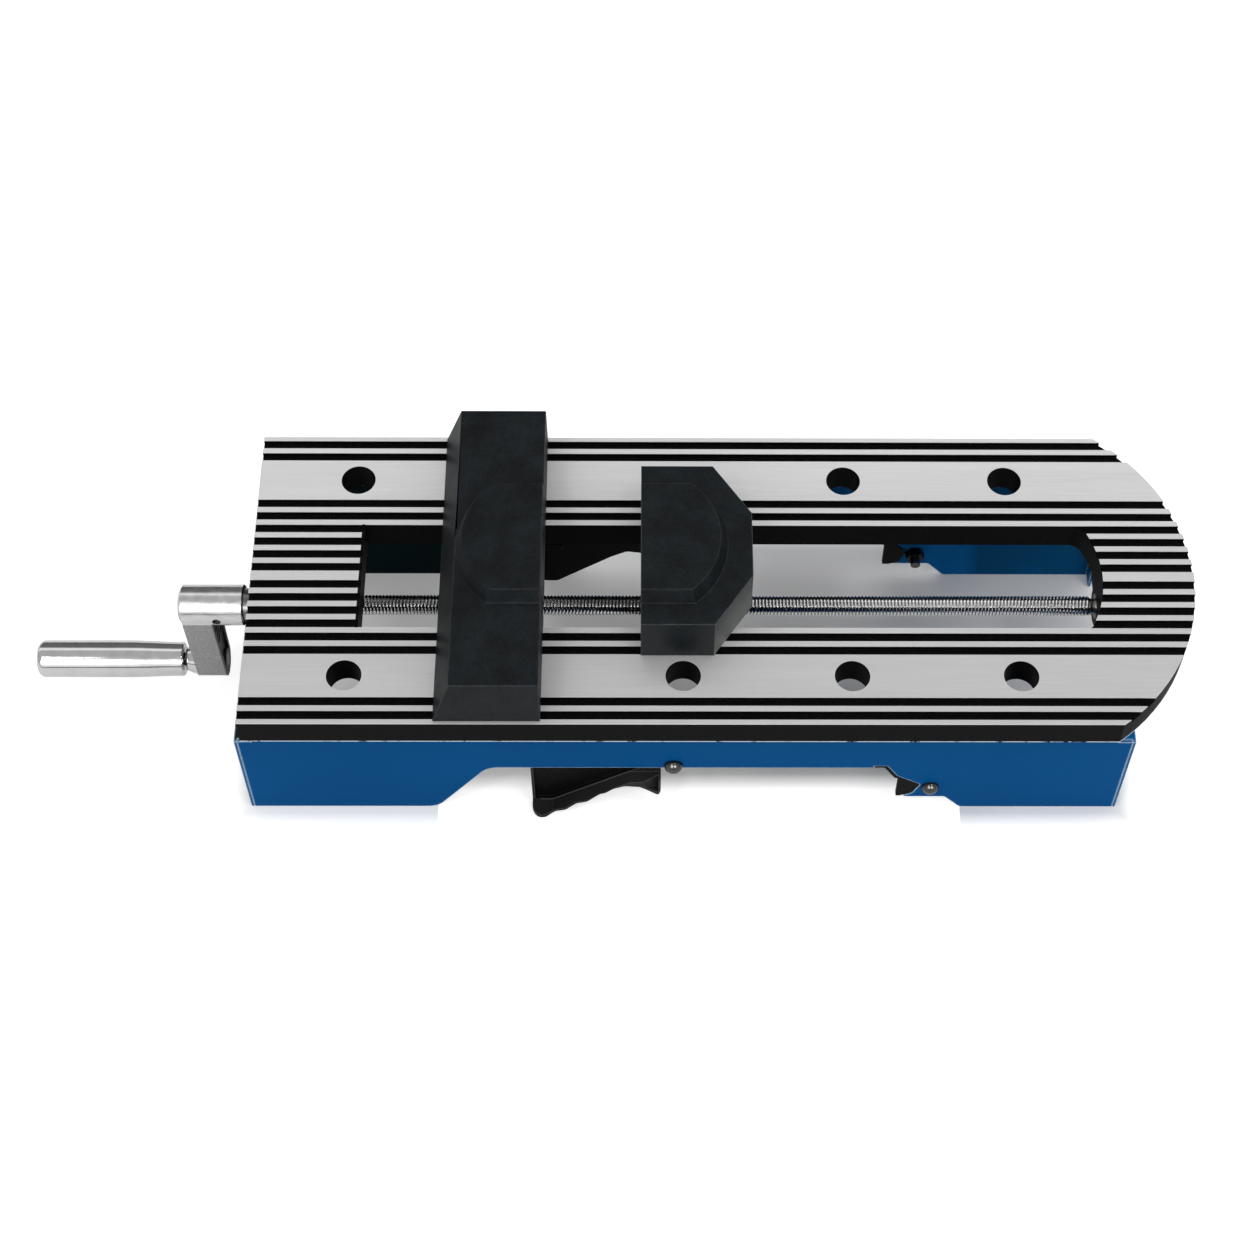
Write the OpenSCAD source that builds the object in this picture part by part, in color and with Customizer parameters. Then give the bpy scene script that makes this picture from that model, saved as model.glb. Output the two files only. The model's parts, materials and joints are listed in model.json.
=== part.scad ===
// Quick-release bench vise. Millimetres, +Z up, standing on its feet at z = 0.
// Pieces are drawn with x = 0 at the middle peg hole, then moved so that the
// origin is the centre of the vise's footprint.

/* [Bed] */
// Length of bed from the middle peg holes to the crank end
bed_left = 248; // [240:1:300]
// Length of bed from the middle peg holes to the rounded end
bed_right = 294.8; // [285:0.2:340]
// Width of the bed
bed_w = 196; // [186:1:210]
// Thickness of the bed plate
bed_t = 20; // [16:1:24]
// Height of the bed's top face above the floor
bed_top = 124; // [118:1:140]
// Radius of the bed's rounded end
bed_end_r = 121.5; // [110:0.5:140]

/* [Slot and grooves] */
// Width of the long slot
slot_w = 70.2; // [66:0.2:74]
// Distance from the middle peg holes to the slot's square end
slot_left = 184.5; // [176:0.5:200]
// Bed left between the slot's curved end and the rounded end
slot_end_web = 52.8; // [48:0.2:60]
// Radius of the corners at the slot's curved end
slot_corner_r = 8.5; // [3:0.5:12]
// Inner edge of the wide land from the centre line
wide_land_in = 52.8; // [51:0.2:54]
// Distance from the bed's side to the outer edge of the wide land
land_margin = 17.2; // [16.8:0.1:19]
// Width of one groove
groove_w = 5.4; // [4:0.1:6.5]
// Depth of the grooves
groove_d = 3; // [1:0.5:5]
// Number of grooves outside each wide land
outer_grooves = 2; // [1:1:2]

/* [Peg holes] */
// Spacing of the peg holes along the bed
hole_pitch = 95; // [85:1:100]
// Diameter of the peg holes
hole_d = 20; // [14:0.5:22]

/* [Sheet-metal base] */
// How far the bed overhangs each side wall
bed_overhang = 14; // [12:0.5:15]
// Distance from the middle peg holes to the left end plate's outer face
base_left = 256.5; // [252:0.5:258]
// Distance from the middle peg holes to the right end plate's outer face
base_right = 260.5; // [256:0.5:264]
// Thickness of the sheet
sheet_t = 2; // [1.5:0.1:2.5]
// Gap between the end plates and the collars above them
plate_collar_gap = 3.5; // [3:0.5:20]
// Width of the legs at both sides of each end plate
plate_leg_w = 11; // [8:1:20]
// Height of the opening in each end plate
plate_arch_h = 54; // [40:1:60]
// Width of the flange under the bed
flange_w = 6; // [4:0.5:8]
// Height of the arch that straddles the rail
arch_h = 48; // [44:0.5:52]
// Left end of the arch, at the floor
arch_left = 145; // [142:1:160]
// Left end of the arch, at its top
arch_top_left = 113; // [108:1:118]
// Right end of the arch, at its top
arch_top_right = 112; // [110:0.5:114]
// Bend radius of the arch outline
arch_r = 12; // [6:1:16]
// Deepest point of the notch
notch_x = 141; // [139:0.5:143]
// Height of the lip under the notch
lip_z = 12.8; // [11:0.2:14]
// Left end of the right feet
foot_right = 166.8; // [164:0.2:172]

/* [Lead screw] */
// Diameter of the screw over its thread
screw_d = 12; // [10:0.5:14]
// Diameter of the journals at both ends
journal_d = 10; // [8:0.5:10]
// Depth of the screw's axis below the bed's top face
screw_drop = 32; // [31:0.5:34]
// Length of the left lug along the screw
left_lug_l = 22; // [18:1:26]
// Length of the right lug along the screw
right_lug_l = 14; // [12:1:14]
// Width of the lugs
lug_w = 44; // [36:1:50]
// Outer diameter of the plain bushings
bushing_d = 15; // [13:0.5:16]
// Thickness of the flange on each bushing
bushing_flange_t = 1.5; // [1:0.5:2]
// Outer diameter of the drive collar and the end collar
collar_d = 20; // [17:0.5:20]

/* [Crank and grip] */
// Diameter of the crank hub
hub_d = 24; // [20:1:24]
// Length of the crank hub
hub_l = 38.4; // [34:0.2:42]
// Gap between the bed and the crank hub, filled by the drive collar
hub_gap = 7; // [6:0.2:14]
// Distance between the hub's axis and the grip's axis
crank_throw = 61; // [50:1:66]
// Width of the arm at the grip
arm_foot_w = 20; // [18:1:22]
// Thickness of the arm
arm_t = 17.5; // [14:0.5:20]
// Diameter of the grip at its middle
grip_d = 22.6; // [20:0.2:26]
// Diameter of the grip at the crank end
grip_neck_d = 20.6; // [18:0.2:22]
// Length of the grip
grip_l = 88.2; // [80:0.2:100]
// Diameter of the grip's spindle
spindle_d = 8; // [6:0.5:10]
// Length of the ferrule between arm and grip
ferrule_l = 7; // [5:0.5:9]

/* [Moving jaw] */
// Distance from the middle peg holes to the moving jaw's face
jaw_face = 23.8; // [10:0.2:30]
// Length of the moving jaw
jaw_l = 63; // [58:1:70]
// Length of the straight sides of the moving jaw
jaw_straight = 41.2; // [38:0.2:46]
// Width of the moving jaw
jaw_w = 107.4; // [100:0.2:120]
// Width of the moving jaw at its nose
jaw_nose_w = 42.6; // [38:0.2:50]
// Height of both jaws above the bed
jaw_h = 33; // [26:1:38]

/* [Fixed jaw] */
// Length of the fixed jaw's foot
fixed_l = 60; // [58:1:66]
// Distance that the fixed jaw's back slopes in at its top
fixed_slope = 10.6; // [8:0.2:13]
// How far the fixed jaw stops short of each side of the bed
fixed_inset = 1.4; // [0:0.2:5]
// Distance that each end of the fixed jaw slopes in at its top
fixed_draft = 3.5; // [1:0.5:5]
// Length of the pegs below the fixed jaw
peg_l = 17; // [12:1:19]

/* [Jaw bosses] */
// Height of the boss on each jaw
boss_h = 8.3; // [5:0.1:12]
// Width of the boss at its top
boss_w = 71.6; // [64:0.2:74]
// Length of the boss from the jaw face to its tip, at its top
boss_l = 45; // [40:0.5:46]
// Radius of the boss's curved back at its top
boss_r = 47.7; // [44:0.1:60]
// Draft of the boss's sides from top to bottom
boss_draft = 4; // [1:0.2:4]

/* [Release lever] */
// Distance from the middle peg holes to the studs that the lever turns on
axle_x = 4.8; // [4:0.1:7]
// Height of the studs above the floor
axle_z = 51.5; // [51.5:0.5:56]
// Diameter of the studs
axle_d = 8; // [6:0.5:8]
// Distance from the middle peg holes to the lever's free end
lever_left = 88.4; // [86:0.2:92]
// Thickness of the lever's side arms
lever_t = 5.5; // [4:0.5:7]
// Width of the finger flange along the lower edge of each side arm
lever_flare = 9; // [6:0.5:10]
// Diameter of the dome caps on the studs
cap_d = 11; // [10.5:0.5:12]
// Diameter of the dome heads of the bolts
dome_d = 10.4; // [10:0.2:12]

/* [Hidden] */
$fn = 64;

// Clearances and overruns
over = 1;
run_gap = 0.05;
fit_gap = 0.02;
slide_gap = 0.1;
hole_gap = 0.3;

// Colours
cast_black = [0.05, 0.05, 0.055];
blue = [0.06, 0.29, 0.5];
steel = [0.7, 0.7, 0.71];
chrome = [0.82, 0.82, 0.84];
dark_steel = [0.2, 0.2, 0.21];
bronze = [0.68, 0.5, 0.27];
moulded_black = [0.09, 0.09, 0.09];

// Heights and places that follow from the sizes above
bed_under = bed_top - bed_t;
screw_z = bed_top - screw_drop;
end_centre = bed_right - bed_end_r;
slot_end_r = bed_end_r - slot_end_web;
slot_right = bed_right - slot_end_web;
groove_pitch = (wide_land_in - slot_w / 2) / 2;
wide_land_out = bed_w / 2 - land_margin;
hole_y = (wide_land_in + wide_land_out) / 2;
inner_grooves = floor((wide_land_in - groove_w) / groove_pitch) + 1;
base_w = bed_w - 2 * bed_overhang;
base_half = base_w / 2;
inside_half = base_half - sheet_t;
end_plate_h = screw_z - collar_d / 2 - plate_collar_gap;

// Crank and grip
arm_inset = 2.2;
grip_gap = 1.2;
hub_right = -bed_left - hub_gap;
hub_left = hub_right - hub_l;
arm_left = hub_left + arm_inset;
arm_right = arm_left + arm_t;
grip_z = screw_z - crank_throw;
grip_right = arm_left - ferrule_l - grip_gap;
grip_left = grip_right - grip_l;
frame_shift = -(grip_left + bed_right) / 2;
hub_round = 5;
hub_edge = 1;
arm_pocket_d = 2;
arm_pocket_wall = 2.6;
arm_ribs = 4;
arm_rib_w = 1.6;
arm_rib_pitch = (crank_throw - hub_d) / (arm_ribs + 2);
grip_round = 6;
grip_edge = 1.5;
grip_neck_l = 26;
spindle_end_wall = 7.5;
ferrule_small_d = 14;
ferrule_big_d = 19;
journal_end = 26;
set_screw_d = 5;
set_screw_l = 5;
set_screw_x = 15.8;
set_screw_socket = 2.5;
set_screw_socket_l = 2;

// Lugs that carry the screw
lug_round_d = 23;

// Seat lugs under the bed and their screws
seat_lug_l = 30;
seat_lug_w = 15;
seat_lug_h = 24;
bed_screw_d = 6;
bed_screw_head_d = 11;
bed_screw_head_t = 3.3;
bed_screw_l = 13;
bed_screw_z = bed_under - seat_lug_h / 2;
seat_places = [for (i = [-1.5 : 1.5]) i * hole_pitch];

// Bushings and collars
bushing_flange_w = 2;
bushing_flange_d = bushing_d + 2 * bushing_flange_w;
end_collar_l = 5.5;
end_collar_x = slot_right + right_lug_l + bushing_flange_t + slide_gap;
journal_stub = 1.5;

// Sheet-metal base
wall_top_inset = 8.5;
flange_left = -base_left + sheet_t + wall_top_inset;
flange_right = base_right - sheet_t - wall_top_inset;
end_lip = 10;
lip_l = sheet_t + end_lip;
foot_fall = 10.2;
foot_round = arch_r / 3;
lip_round = arch_r / 4;

// The notch and the pad in it, in shares of the notch's length, height and round
arch_step = 2.2;
notch_l = notch_x - arch_top_right;
notch_h = arch_h + arch_step - lip_z;
notch_round = 1.5;
notch_shares = [[0.638, 0, 0.5], [0.859, 0.115, 1], [1, 0.406, 1], [0.5, 0.679, 1], [0.272, 1, 1], [0, 1, 0]];
pad_edge_shares = [[0.014, 0.94, 0], [0.22, 0.94, 1], [0.45, 0.615, 1], [0.534, 0.59, 0.5], [0.534, 0.021, 0.5]];
pad_shares = [[0.62, 0.021, 0.3], [0.845, 0.128, 1], [0.983, 0.404, 1], [0.486, 0.674, 1], [0.258, 0.992, 1],
    [0.014, 0.992, 0]];
pad_back_shares = [[0.534, 0.021, 0.5], [0.672, 0.021, 0.3], [0.893, 0.11, 1], [1.02, 0.406, 1],
    [0.534, 0.75, 0.5]];
pad_inset = 0.2;
pad_back_t = 1;

// Bolts beside the notches
bolt_right = 6;
bolt_drop = 2.4;
notch_z = lip_z + notch_shares[2][1] * notch_h;
bolt_x = notch_x + bolt_right;
bolt_z = notch_z - bolt_drop;
bolt_d = 6;
bolt_end = 5;
nut_af = 10;
nut_t = 5;
dome_h = 4.9;
cap_h = 5.4;
axle_end = 2.4;
axle_inner = 2;

// Lever. Its outlines are in shares of its length, of its rise and of its round.
hook_back = 7.3;
hook_x = axle_x + hook_back;
lever_l = lever_left - hook_x;
lever_low = 1.6;
lever_rise = 33.2;
lever_shares = [[0, 0, 1], [0.149, 0, 1], [0.595, 0.816, 1], [0.726, 1, 1], [0.837, 0.952, 1],
    [0.979, 0.639, 0.25], [1, 0.72, 0.25]];
web_shares = [[0.02, 1.55], [0.02, 0.1], [0.155, 0.1], [0.763, 1.145], [0.9, 1.38], [0.9, 1.55]];
flange_top_shares = [[1, 1.127], [0.763, 1.127], [0.156, 0.084], [0.066, 0.084], [0, 0.16]];
// The flange's outer edge in shares of the lever's length, of the flange's width and of its round
finger_shares = [[0, 1.2, 1], [0.1, 1.2, 1], [0.165, 0.8, 1], [0.26, 1.03, 1], [0.345, 0.86, 1],
    [0.429, 1.04, 1], [0.529, 0.84, 1], [0.578, 0.92, 1], [0.636, 0.8, 1], [0.739, 0.84, 1], [0.81, 0.82, 1], [0.891, 0.78, 1],
    [1, 0.78, 0.4]];
// The pocket in the hook, seen from above and from the side
pocket_plan_shares = [[0.844, 0.9], [0.984, 0.22], [0.984, 0.9]];
pocket_side_shares = [[0.844, 0.99], [0.984, 0.735], [0.984, 1.3], [0.844, 1.3]];
lever_side_gap = 0.5;
lever_out = inside_half - lever_side_gap;
lever_in = lever_out - lever_t;
lever_round = 5;
lever_top_round = 3;
web_round = 1.6;
web_cut = 2.4;
boss_round = 8;
lever_top = axle_z + boss_round;
grip_bar_l = 3.4;
grip_bar_h = 24;
grip_bar_up = 2;
grip_bar_edge = 1.5;

// Lever springs, each between a pad on the lever and the bed
spring_x = 78;
spring_od = 10;
spring_side_gap = 1;
spring_y = lever_in - spring_side_gap - spring_od / 2;
spring_wire = 1.2;
spring_turns = 7;
spring_sides = 6;
spring_steps = 8;
spring_pad_l = 12;
spring_pad_t = 6;
spigot_d = 5;
spigot_l = 5;

// Carriage under the moving jaw
tongue_l = 48;
tongue_back = 2.5;
carriage_w = 44;
carriage_low = 14;
wing_reach = 13.9;
wing_w = slot_w + 2 * wing_reach;
wing_t = 9;
nut_d = 18;
nut_flange_d = 24;
nut_flange_t = 4;
carriage_screw_d = 6;
carriage_screw_head_d = 10;
carriage_screw_head_t = 6;
carriage_screw_in = 12;
carriage_screw_edge = 6.1;
carriage_screw_y = slot_w / 2 - carriage_screw_edge;
carriage_screw_x = 12;

// Fixed jaw and its pegs
peg_back = 15.7;
fixed_w = bed_w - 2 * fixed_inset;
fixed_face = -hole_pitch + peg_back;
spigot_in = 10;
peg_spigot_d = 12;
peg_screw_d = 6;
peg_screw_head_d = 10;
peg_screw_head_t = 6;
peg_screw_in = 18;

function unit(v) = v / norm(v);
function turn_of(a) = a > 180 ? a - 360 : a < -180 ? a + 360 : a;
function arc_between(centre, p, q, r, steps) =
    let (a0 = atan2(p[1] - centre[1], p[0] - centre[0]))
    let (a1 = atan2(q[1] - centre[1], q[0] - centre[0]))
    let (sweep = turn_of(a1 - a0))
    [for (i = [0 : steps]) centre + r * [cos(a0 + sweep * i / steps), sin(a0 + sweep * i / steps)]];
function corner(a, b, c, steps) =
    b[2] <= 0 ? [[b[0], b[1]]] :
    let (at = [b[0], b[1]])
    let (u = unit([a[0], a[1]] - at))
    let (v = unit([c[0], c[1]] - at))
    let (half = acos(max(-1, min(1, u * v))) / 2)
    let (back = b[2] / tan(half))
    let (centre = at + unit(u + v) * b[2] / sin(half))
    arc_between(centre, at + u * back, at + v * back, b[2], steps);
// Outline whose points are [x, y, corner radius]
function rounded(pts, steps = 6) =
    let (n = len(pts))
    [for (i = [0 : n - 1]) each corner(pts[(i + n - 1) % n], pts[i], pts[(i + 1) % n], steps)];

module placed() {
    translate([frame_shift, 0, 0])
        children();
}
module both_sides() {
    children();
    mirror([0, 1, 0])
        children();
}
// A prism over an outline in x and z, from y = y0 to y = y1
module side_prism(y0, y1) {
    translate([0, max(y0, y1), 0])
        rotate([90, 0, 0])
            linear_extrude(abs(y1 - y0))
                children();
}
// A cylinder along x from x0 to x1 at height z
module rod_x(d, x0, x1, z) {
    translate([x0, 0, z])
        rotate([0, 90, 0])
            cylinder(d = d, h = x1 - x0);
}
// A cylinder along y from y0 to y1
module rod_y(d, y0, y1) {
    translate([0, y0, 0])
        rotate([-90, 0, 0])
            cylinder(d = d, h = y1 - y0);
}

// Bed
module bed_outline(inset = 0) {
    intersection() {
        translate([-bed_left + inset, -bed_w / 2 + inset])
            square([bed_left + bed_right - 2 * inset, bed_w - 2 * inset]);
        union() {
            translate([-bed_left, -bed_w / 2])
                square([bed_left + end_centre, bed_w]);
            translate([end_centre, 0])
                circle(r = bed_end_r - inset, $fn = 160);
        }
    }
}
// A straight slot whose right end is an arc with rounded corners
module slot_outline() {
    corner_y = slot_w / 2 - slot_corner_r;
    corner_x = sqrt(pow(slot_end_r - slot_corner_r, 2) - pow(corner_y, 2));
    translate([-slot_left, -slot_w / 2])
        square([slot_left + end_centre + corner_x, slot_w]);
    for (side = [-1, 1])
        translate([end_centre + corner_x, side * corner_y])
            circle(r = slot_corner_r);
    translate([end_centre, 0])
        intersection() {
            circle(r = slot_end_r, $fn = 120);
            polygon([[0, 0], 2 * [corner_x, -corner_y], 2 * [corner_x, corner_y]]);
        }
}
module groove_cut(y_low) {
    translate([-bed_left - over, y_low, bed_top - groove_d])
        cube([bed_left + bed_right + 2 * over, groove_w, groove_d + over]);
}
module screw_lug(x, l) {
    translate([x, -lug_w / 2, screw_z])
        cube([l, lug_w, bed_under - screw_z]);
    rod_x(lug_round_d, x, x + l, screw_z);
}
module seat_lug(x) {
    translate([x - seat_lug_l / 2, inside_half - slide_gap - seat_lug_w, bed_under - seat_lug_h])
        cube([seat_lug_l, seat_lug_w, seat_lug_h]);
}
module bed() {
    color(cast_black)
        placed()
            difference() {
                union() {
                    translate([0, 0, bed_under])
                        linear_extrude(bed_t)
                            difference() {
                                bed_outline();
                                slot_outline();
                            }
                    screw_lug(-bed_left, left_lug_l);
                    screw_lug(slot_right, right_lug_l);
                    both_sides() {
                        for (x = seat_places)
                            seat_lug(x);
                        translate([-spring_x, spring_y, bed_under - spigot_l])
                            cylinder(d = spigot_d, h = spigot_l + over);
                    }
                }
                both_sides() {
                    for (k = [0 : inner_grooves - 1])
                        groove_cut(wide_land_in - k * groove_pitch - groove_w);
                    for (k = [0 : outer_grooves - 1])
                        groove_cut(wide_land_out + k * groove_pitch);
                    for (i = [-2 : 2])
                        translate([i * hole_pitch, hole_y, bed_under - over])
                            cylinder(d = hole_d, h = bed_t + 2 * over);
                    for (x = seat_places)
                        translate([x, 0, bed_screw_z])
                            rod_y(bed_screw_d, inside_half - bed_screw_l, inside_half + over);
                }
                rod_x(bushing_d, -bed_left - over, -bed_left + left_lug_l + over, screw_z);
                rod_x(bushing_d, slot_right - over, slot_right + right_lug_l + over, screw_z);
            }
}

// Sheet-metal base
function notch_point(share) =
    [arch_top_right + share[0] * notch_l, lip_z + share[1] * notch_h, share[2] * notch_round];
module wall_outline() {
    left = -base_left + sheet_t;
    right = base_right - sheet_t;
    polygon(rounded([
        [left, 0, 0],
        [left, end_plate_h, 0],
        [left + wall_top_inset, end_plate_h, 0],
        [left + wall_top_inset, bed_under, 0],
        [right - wall_top_inset, bed_under, 0],
        [right - wall_top_inset, end_plate_h, 0],
        [right, end_plate_h, 0],
        [right, 0, 0],
        [foot_right, 0, foot_round],
        [foot_right - foot_fall, lip_z, lip_round],
        each [for (p = notch_shares) notch_point(p)],
        [arch_top_right, arch_h, 0],
        [-arch_top_left, arch_h, arch_r],
        [-arch_left, 0, arch_r]
    ]));
}
module side_wall(side) {
    mirror([0, side, 0])
        color(blue)
            placed()
                difference() {
                    union() {
                        side_prism(-base_half, -inside_half)
                            wall_outline();
                        side_prism(-base_half, -inside_half)
                            translate([-axle_x, axle_z])
                                circle(d = cap_d);
                        translate([flange_left, -inside_half - over, bed_under - sheet_t])
                            cube([flange_right - flange_left, flange_w - sheet_t + over, sheet_t]);
                    }
                    for (x = seat_places)
                        translate([x, 0, bed_screw_z])
                            rod_y(bed_screw_d + 2 * hole_gap, -base_half - over, -inside_half + over);
                    translate([bolt_x, 0, bolt_z])
                        rod_y(bolt_d + 2 * run_gap, -base_half - over, -inside_half + over);
                    translate([-axle_x, 0, axle_z])
                        rod_y(axle_d + 2 * run_gap, -base_half - over, -inside_half + over);
                    for (x = seat_places)
                        translate([x - seat_lug_l / 2 - slide_gap, -inside_half, bed_under - sheet_t - over])
                            cube([seat_lug_l + 2 * slide_gap, flange_w + over, sheet_t + 2 * over]);
                }
}
module side_wall_front() {
    side_wall(0);
}
module side_wall_rear() {
    side_wall(1);
}
module end_plate_outline() {
    polygon(rounded([
        [-base_half, 0, 0],
        [-base_half + plate_leg_w, 0, 0],
        [-base_half + plate_leg_w, plate_arch_h, arch_r],
        [base_half - plate_leg_w, plate_arch_h, arch_r],
        [base_half - plate_leg_w, 0, 0],
        [base_half, 0, 0],
        [base_half, end_plate_h, 0],
        [-base_half, end_plate_h, 0]
    ]));
}
module end_plate(x, inward) {
    color(blue)
        placed() {
            translate([min(x, x + inward * sheet_t), 0, 0])
                rotate([90, 0, 90])
                    linear_extrude(sheet_t)
                        end_plate_outline();
            translate([min(x, x + inward * lip_l), -inside_half + slide_gap, end_plate_h - sheet_t])
                cube([lip_l, 2 * (inside_half - slide_gap), sheet_t]);
        }
}
module end_plate_left() {
    end_plate(-base_left, 1);
}
module end_plate_right() {
    end_plate(base_right, -1);
}
module bed_screws() {
    color(dark_steel)
        placed()
            both_sides()
                for (x = seat_places)
                    translate([x, 0, bed_screw_z]) {
                        rod_y(bed_screw_d - 2 * fit_gap, base_half - bed_screw_l, base_half);
                        rod_y(bed_screw_head_d, base_half, base_half + bed_screw_head_t);
                    }
}

// Pads that line the notches, each with a lip behind the sheet
module notch_block(side) {
    mirror([0, side, 0])
        color(moulded_black)
            placed() {
                side_prism(-base_half + pad_inset, -inside_half + pad_back_t)
                    polygon(rounded([for (p = concat(pad_edge_shares, pad_shares)) notch_point(p)], 4));
                side_prism(-inside_half + slide_gap, -inside_half + pad_back_t)
                    polygon(rounded([for (p = pad_back_shares) notch_point(p)], 4));
            }
}
module notch_block_front() {
    notch_block(0);
}
module notch_block_rear() {
    notch_block(1);
}
// A dome along -y whose flat side is at y = 0
module dome(d, h) {
    r = (d * d / 4 + h * h) / (2 * h);
    rotate([90, 0, 0])
        rotate_extrude()
            intersection() {
                translate([0, h - r])
                    circle(r = r, $fn = 96);
                square([d, h]);
            }
}
module notch_bolts() {
    color(cast_black)
        placed()
            both_sides()
                translate([bolt_x, 0, bolt_z]) {
                    translate([0, -base_half, 0])
                        dome(dome_d, dome_h);
                    rod_y(bolt_d, -base_half - fit_gap, -inside_half + nut_t + bolt_end);
                }
}
module notch_nuts() {
    color(cast_black)
        placed()
            both_sides()
                translate([bolt_x, -inside_half, bolt_z])
                    rotate([-90, 0, 0])
                        difference() {
                            cylinder(d = nut_af / cos(30), h = nut_t, $fn = 6);
                            translate([0, 0, -over])
                                cylinder(d = bolt_d + 2 * fit_gap, h = nut_t + 2 * over);
                        }
}

// Release lever, its axle, caps and springs
module lever_axle() {
    color(steel)
        placed()
            both_sides()
                translate([-axle_x, 0, axle_z])
                    rod_y(axle_d, lever_in - axle_inner, base_half + axle_end);
}
module axle_caps() {
    color(cast_black)
        placed()
            both_sides()
                translate([-axle_x, -base_half, axle_z])
                    difference() {
                        dome(cap_d, cap_h);
                        rod_y(axle_d + 2 * fit_gap, -axle_end - slide_gap, over);
                    }
}
function lever_point(share) = [-lever_left + share[0] * lever_l, lever_low + share[1] * lever_rise];
function finger_point(share) = [-lever_left + share[0] * lever_l, -lever_out - share[1] * lever_flare];
lever_edge = rounded([
    [-lever_left, lever_top, lever_top_round],
    each [for (p = lever_shares) concat(lever_point(p), p[2] * lever_round)],
    [-hook_x, axle_z, 0],
    [-axle_x, lever_top, 0]
], 4);
module lever_outline() {
    polygon(lever_edge);
    translate([-axle_x, axle_z])
        circle(r = boss_round);
}
// The flange that the fingers pull, seen from the side
module flange_outline() {
    polygon(concat(
        [for (p = lever_edge) if (p[1] < axle_z && p[0] < -hook_x) p],
        [for (p = flange_top_shares) lever_point(p)]
    ));
}
// The flange seen from above, with its wavy outer edge
module finger_outline() {
    polygon(rounded([
        [-lever_left, -lever_in - web_cut, 0],
        each [for (p = finger_shares) concat(finger_point(p), p[2] * lever_round)],
        [-hook_x, -lever_in - web_cut, 0]
    ], 4));
}
module lever_flange() {
    difference() {
        intersection() {
            side_prism(-lever_out - 2 * lever_flare, -lever_in)
                flange_outline();
            linear_extrude(axle_z)
                finger_outline();
        }
        intersection() {
            side_prism(-lever_out - 2 * lever_flare, -lever_in)
                polygon([for (p = pocket_side_shares) lever_point(p)]);
            linear_extrude(axle_z)
                polygon([for (p = pocket_plan_shares) finger_point(p)]);
        }
    }
}
module lever_arm() {
    difference() {
        union() {
            side_prism(-lever_out, -lever_in)
                lever_outline();
            lever_flange();
            translate([-spring_x - spring_pad_l / 2, -lever_in - over, lever_top - spring_pad_t])
                cube([spring_pad_l, lever_in + over - spring_y + spring_pad_l / 2, spring_pad_t]);
        }
        side_prism(-lever_out - over, -lever_out + web_cut)
            polygon(rounded([for (p = web_shares) concat(lever_point(p), web_round)], 4));
        translate([-axle_x, 0, axle_z])
            rod_y(axle_d + 2 * run_gap, -lever_out - over, -lever_in + over);
    }
}
module release_lever() {
    color(moulded_black)
        placed() {
            both_sides()
                lever_arm();
            side_prism(-lever_in - over, lever_in + over)
                polygon(rounded([
                    [-lever_left, lever_low + grip_bar_up, grip_bar_edge],
                    [-lever_left + grip_bar_l, lever_low + grip_bar_up, grip_bar_edge],
                    [-lever_left + grip_bar_l, lever_low + grip_bar_up + grip_bar_h, grip_bar_edge],
                    [-lever_left, lever_low + grip_bar_up + grip_bar_h, grip_bar_edge]
                ]));
        }
}
// A round wire wound upwards, one unbroken tube
module coil(r, wire, height, turns, sides, steps) {
    rings = turns * steps;
    points = [for (i = [0 : rings], k = [0 : sides - 1])
        let (a = 360 * i / steps, b = 360 * k / sides)
        let (out = r + wire / 2 * cos(b))
        [out * cos(a), out * sin(a), wire / 2 + (height - wire) * i / rings + wire / 2 * sin(b)]];
    sides_between = [for (i = [0 : rings - 1], k = [0 : sides - 1])
        let (a = i * sides + k, b = i * sides + (k + 1) % sides)
        each [[a, b, b + sides], [a, b + sides, a + sides]]];
    first = [for (k = [1 : sides - 2]) [0, k + 1, k]];
    last = [for (k = [1 : sides - 2]) [rings * sides, rings * sides + k, rings * sides + k + 1]];
    polyhedron(points = points, faces = concat(sides_between, first, last));
}
module lever_spring(side) {
    mirror([0, side, 0])
        color(steel)
            placed()
                translate([-spring_x, -spring_y, lever_top + slide_gap])
                    coil((spring_od - spring_wire) / 2, spring_wire, bed_under - lever_top - 2 * slide_gap,
                        spring_turns, spring_sides, spring_steps);
}
module lever_spring_front() {
    lever_spring(0);
}
module lever_spring_rear() {
    lever_spring(1);
}

// Screw drive
module lead_screw() {
    thread_left = -bed_left + left_lug_l + hole_gap;
    thread_right = slot_right - hole_gap;
    color(steel)
        placed()
            union() {
                rod_x(screw_d, thread_left, thread_right, screw_z);
                rod_x(journal_d, hub_right - journal_end, thread_left + over, screw_z);
                rod_x(journal_d, thread_right - over, end_collar_x + end_collar_l + journal_stub, screw_z);
            }
}
module bushing(x0, x1, flange_x) {
    color(bronze)
        placed()
            difference() {
                union() {
                    rod_x(bushing_d - 2 * fit_gap, x0, x1, screw_z);
                    rod_x(bushing_flange_d, flange_x, flange_x + bushing_flange_t, screw_z);
                }
                rod_x(journal_d + 2 * run_gap, -bed_left - bed_right, bed_left + bed_right, screw_z);
            }
}
module left_bushing() {
    bushing(-bed_left - over, -bed_left + left_lug_l, -bed_left - bushing_flange_t);
}
module right_bushing() {
    bushing(slot_right, slot_right + right_lug_l + over, slot_right + right_lug_l);
}
module collar(x0, x1) {
    color(dark_steel)
        placed()
            difference() {
                rod_x(collar_d, x0, x1, screw_z);
                rod_x(journal_d + 2 * fit_gap, x0 - over, x1 + over, screw_z);
            }
}
module drive_collar() {
    collar(hub_right, -bed_left - bushing_flange_t - slide_gap);
}
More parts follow.
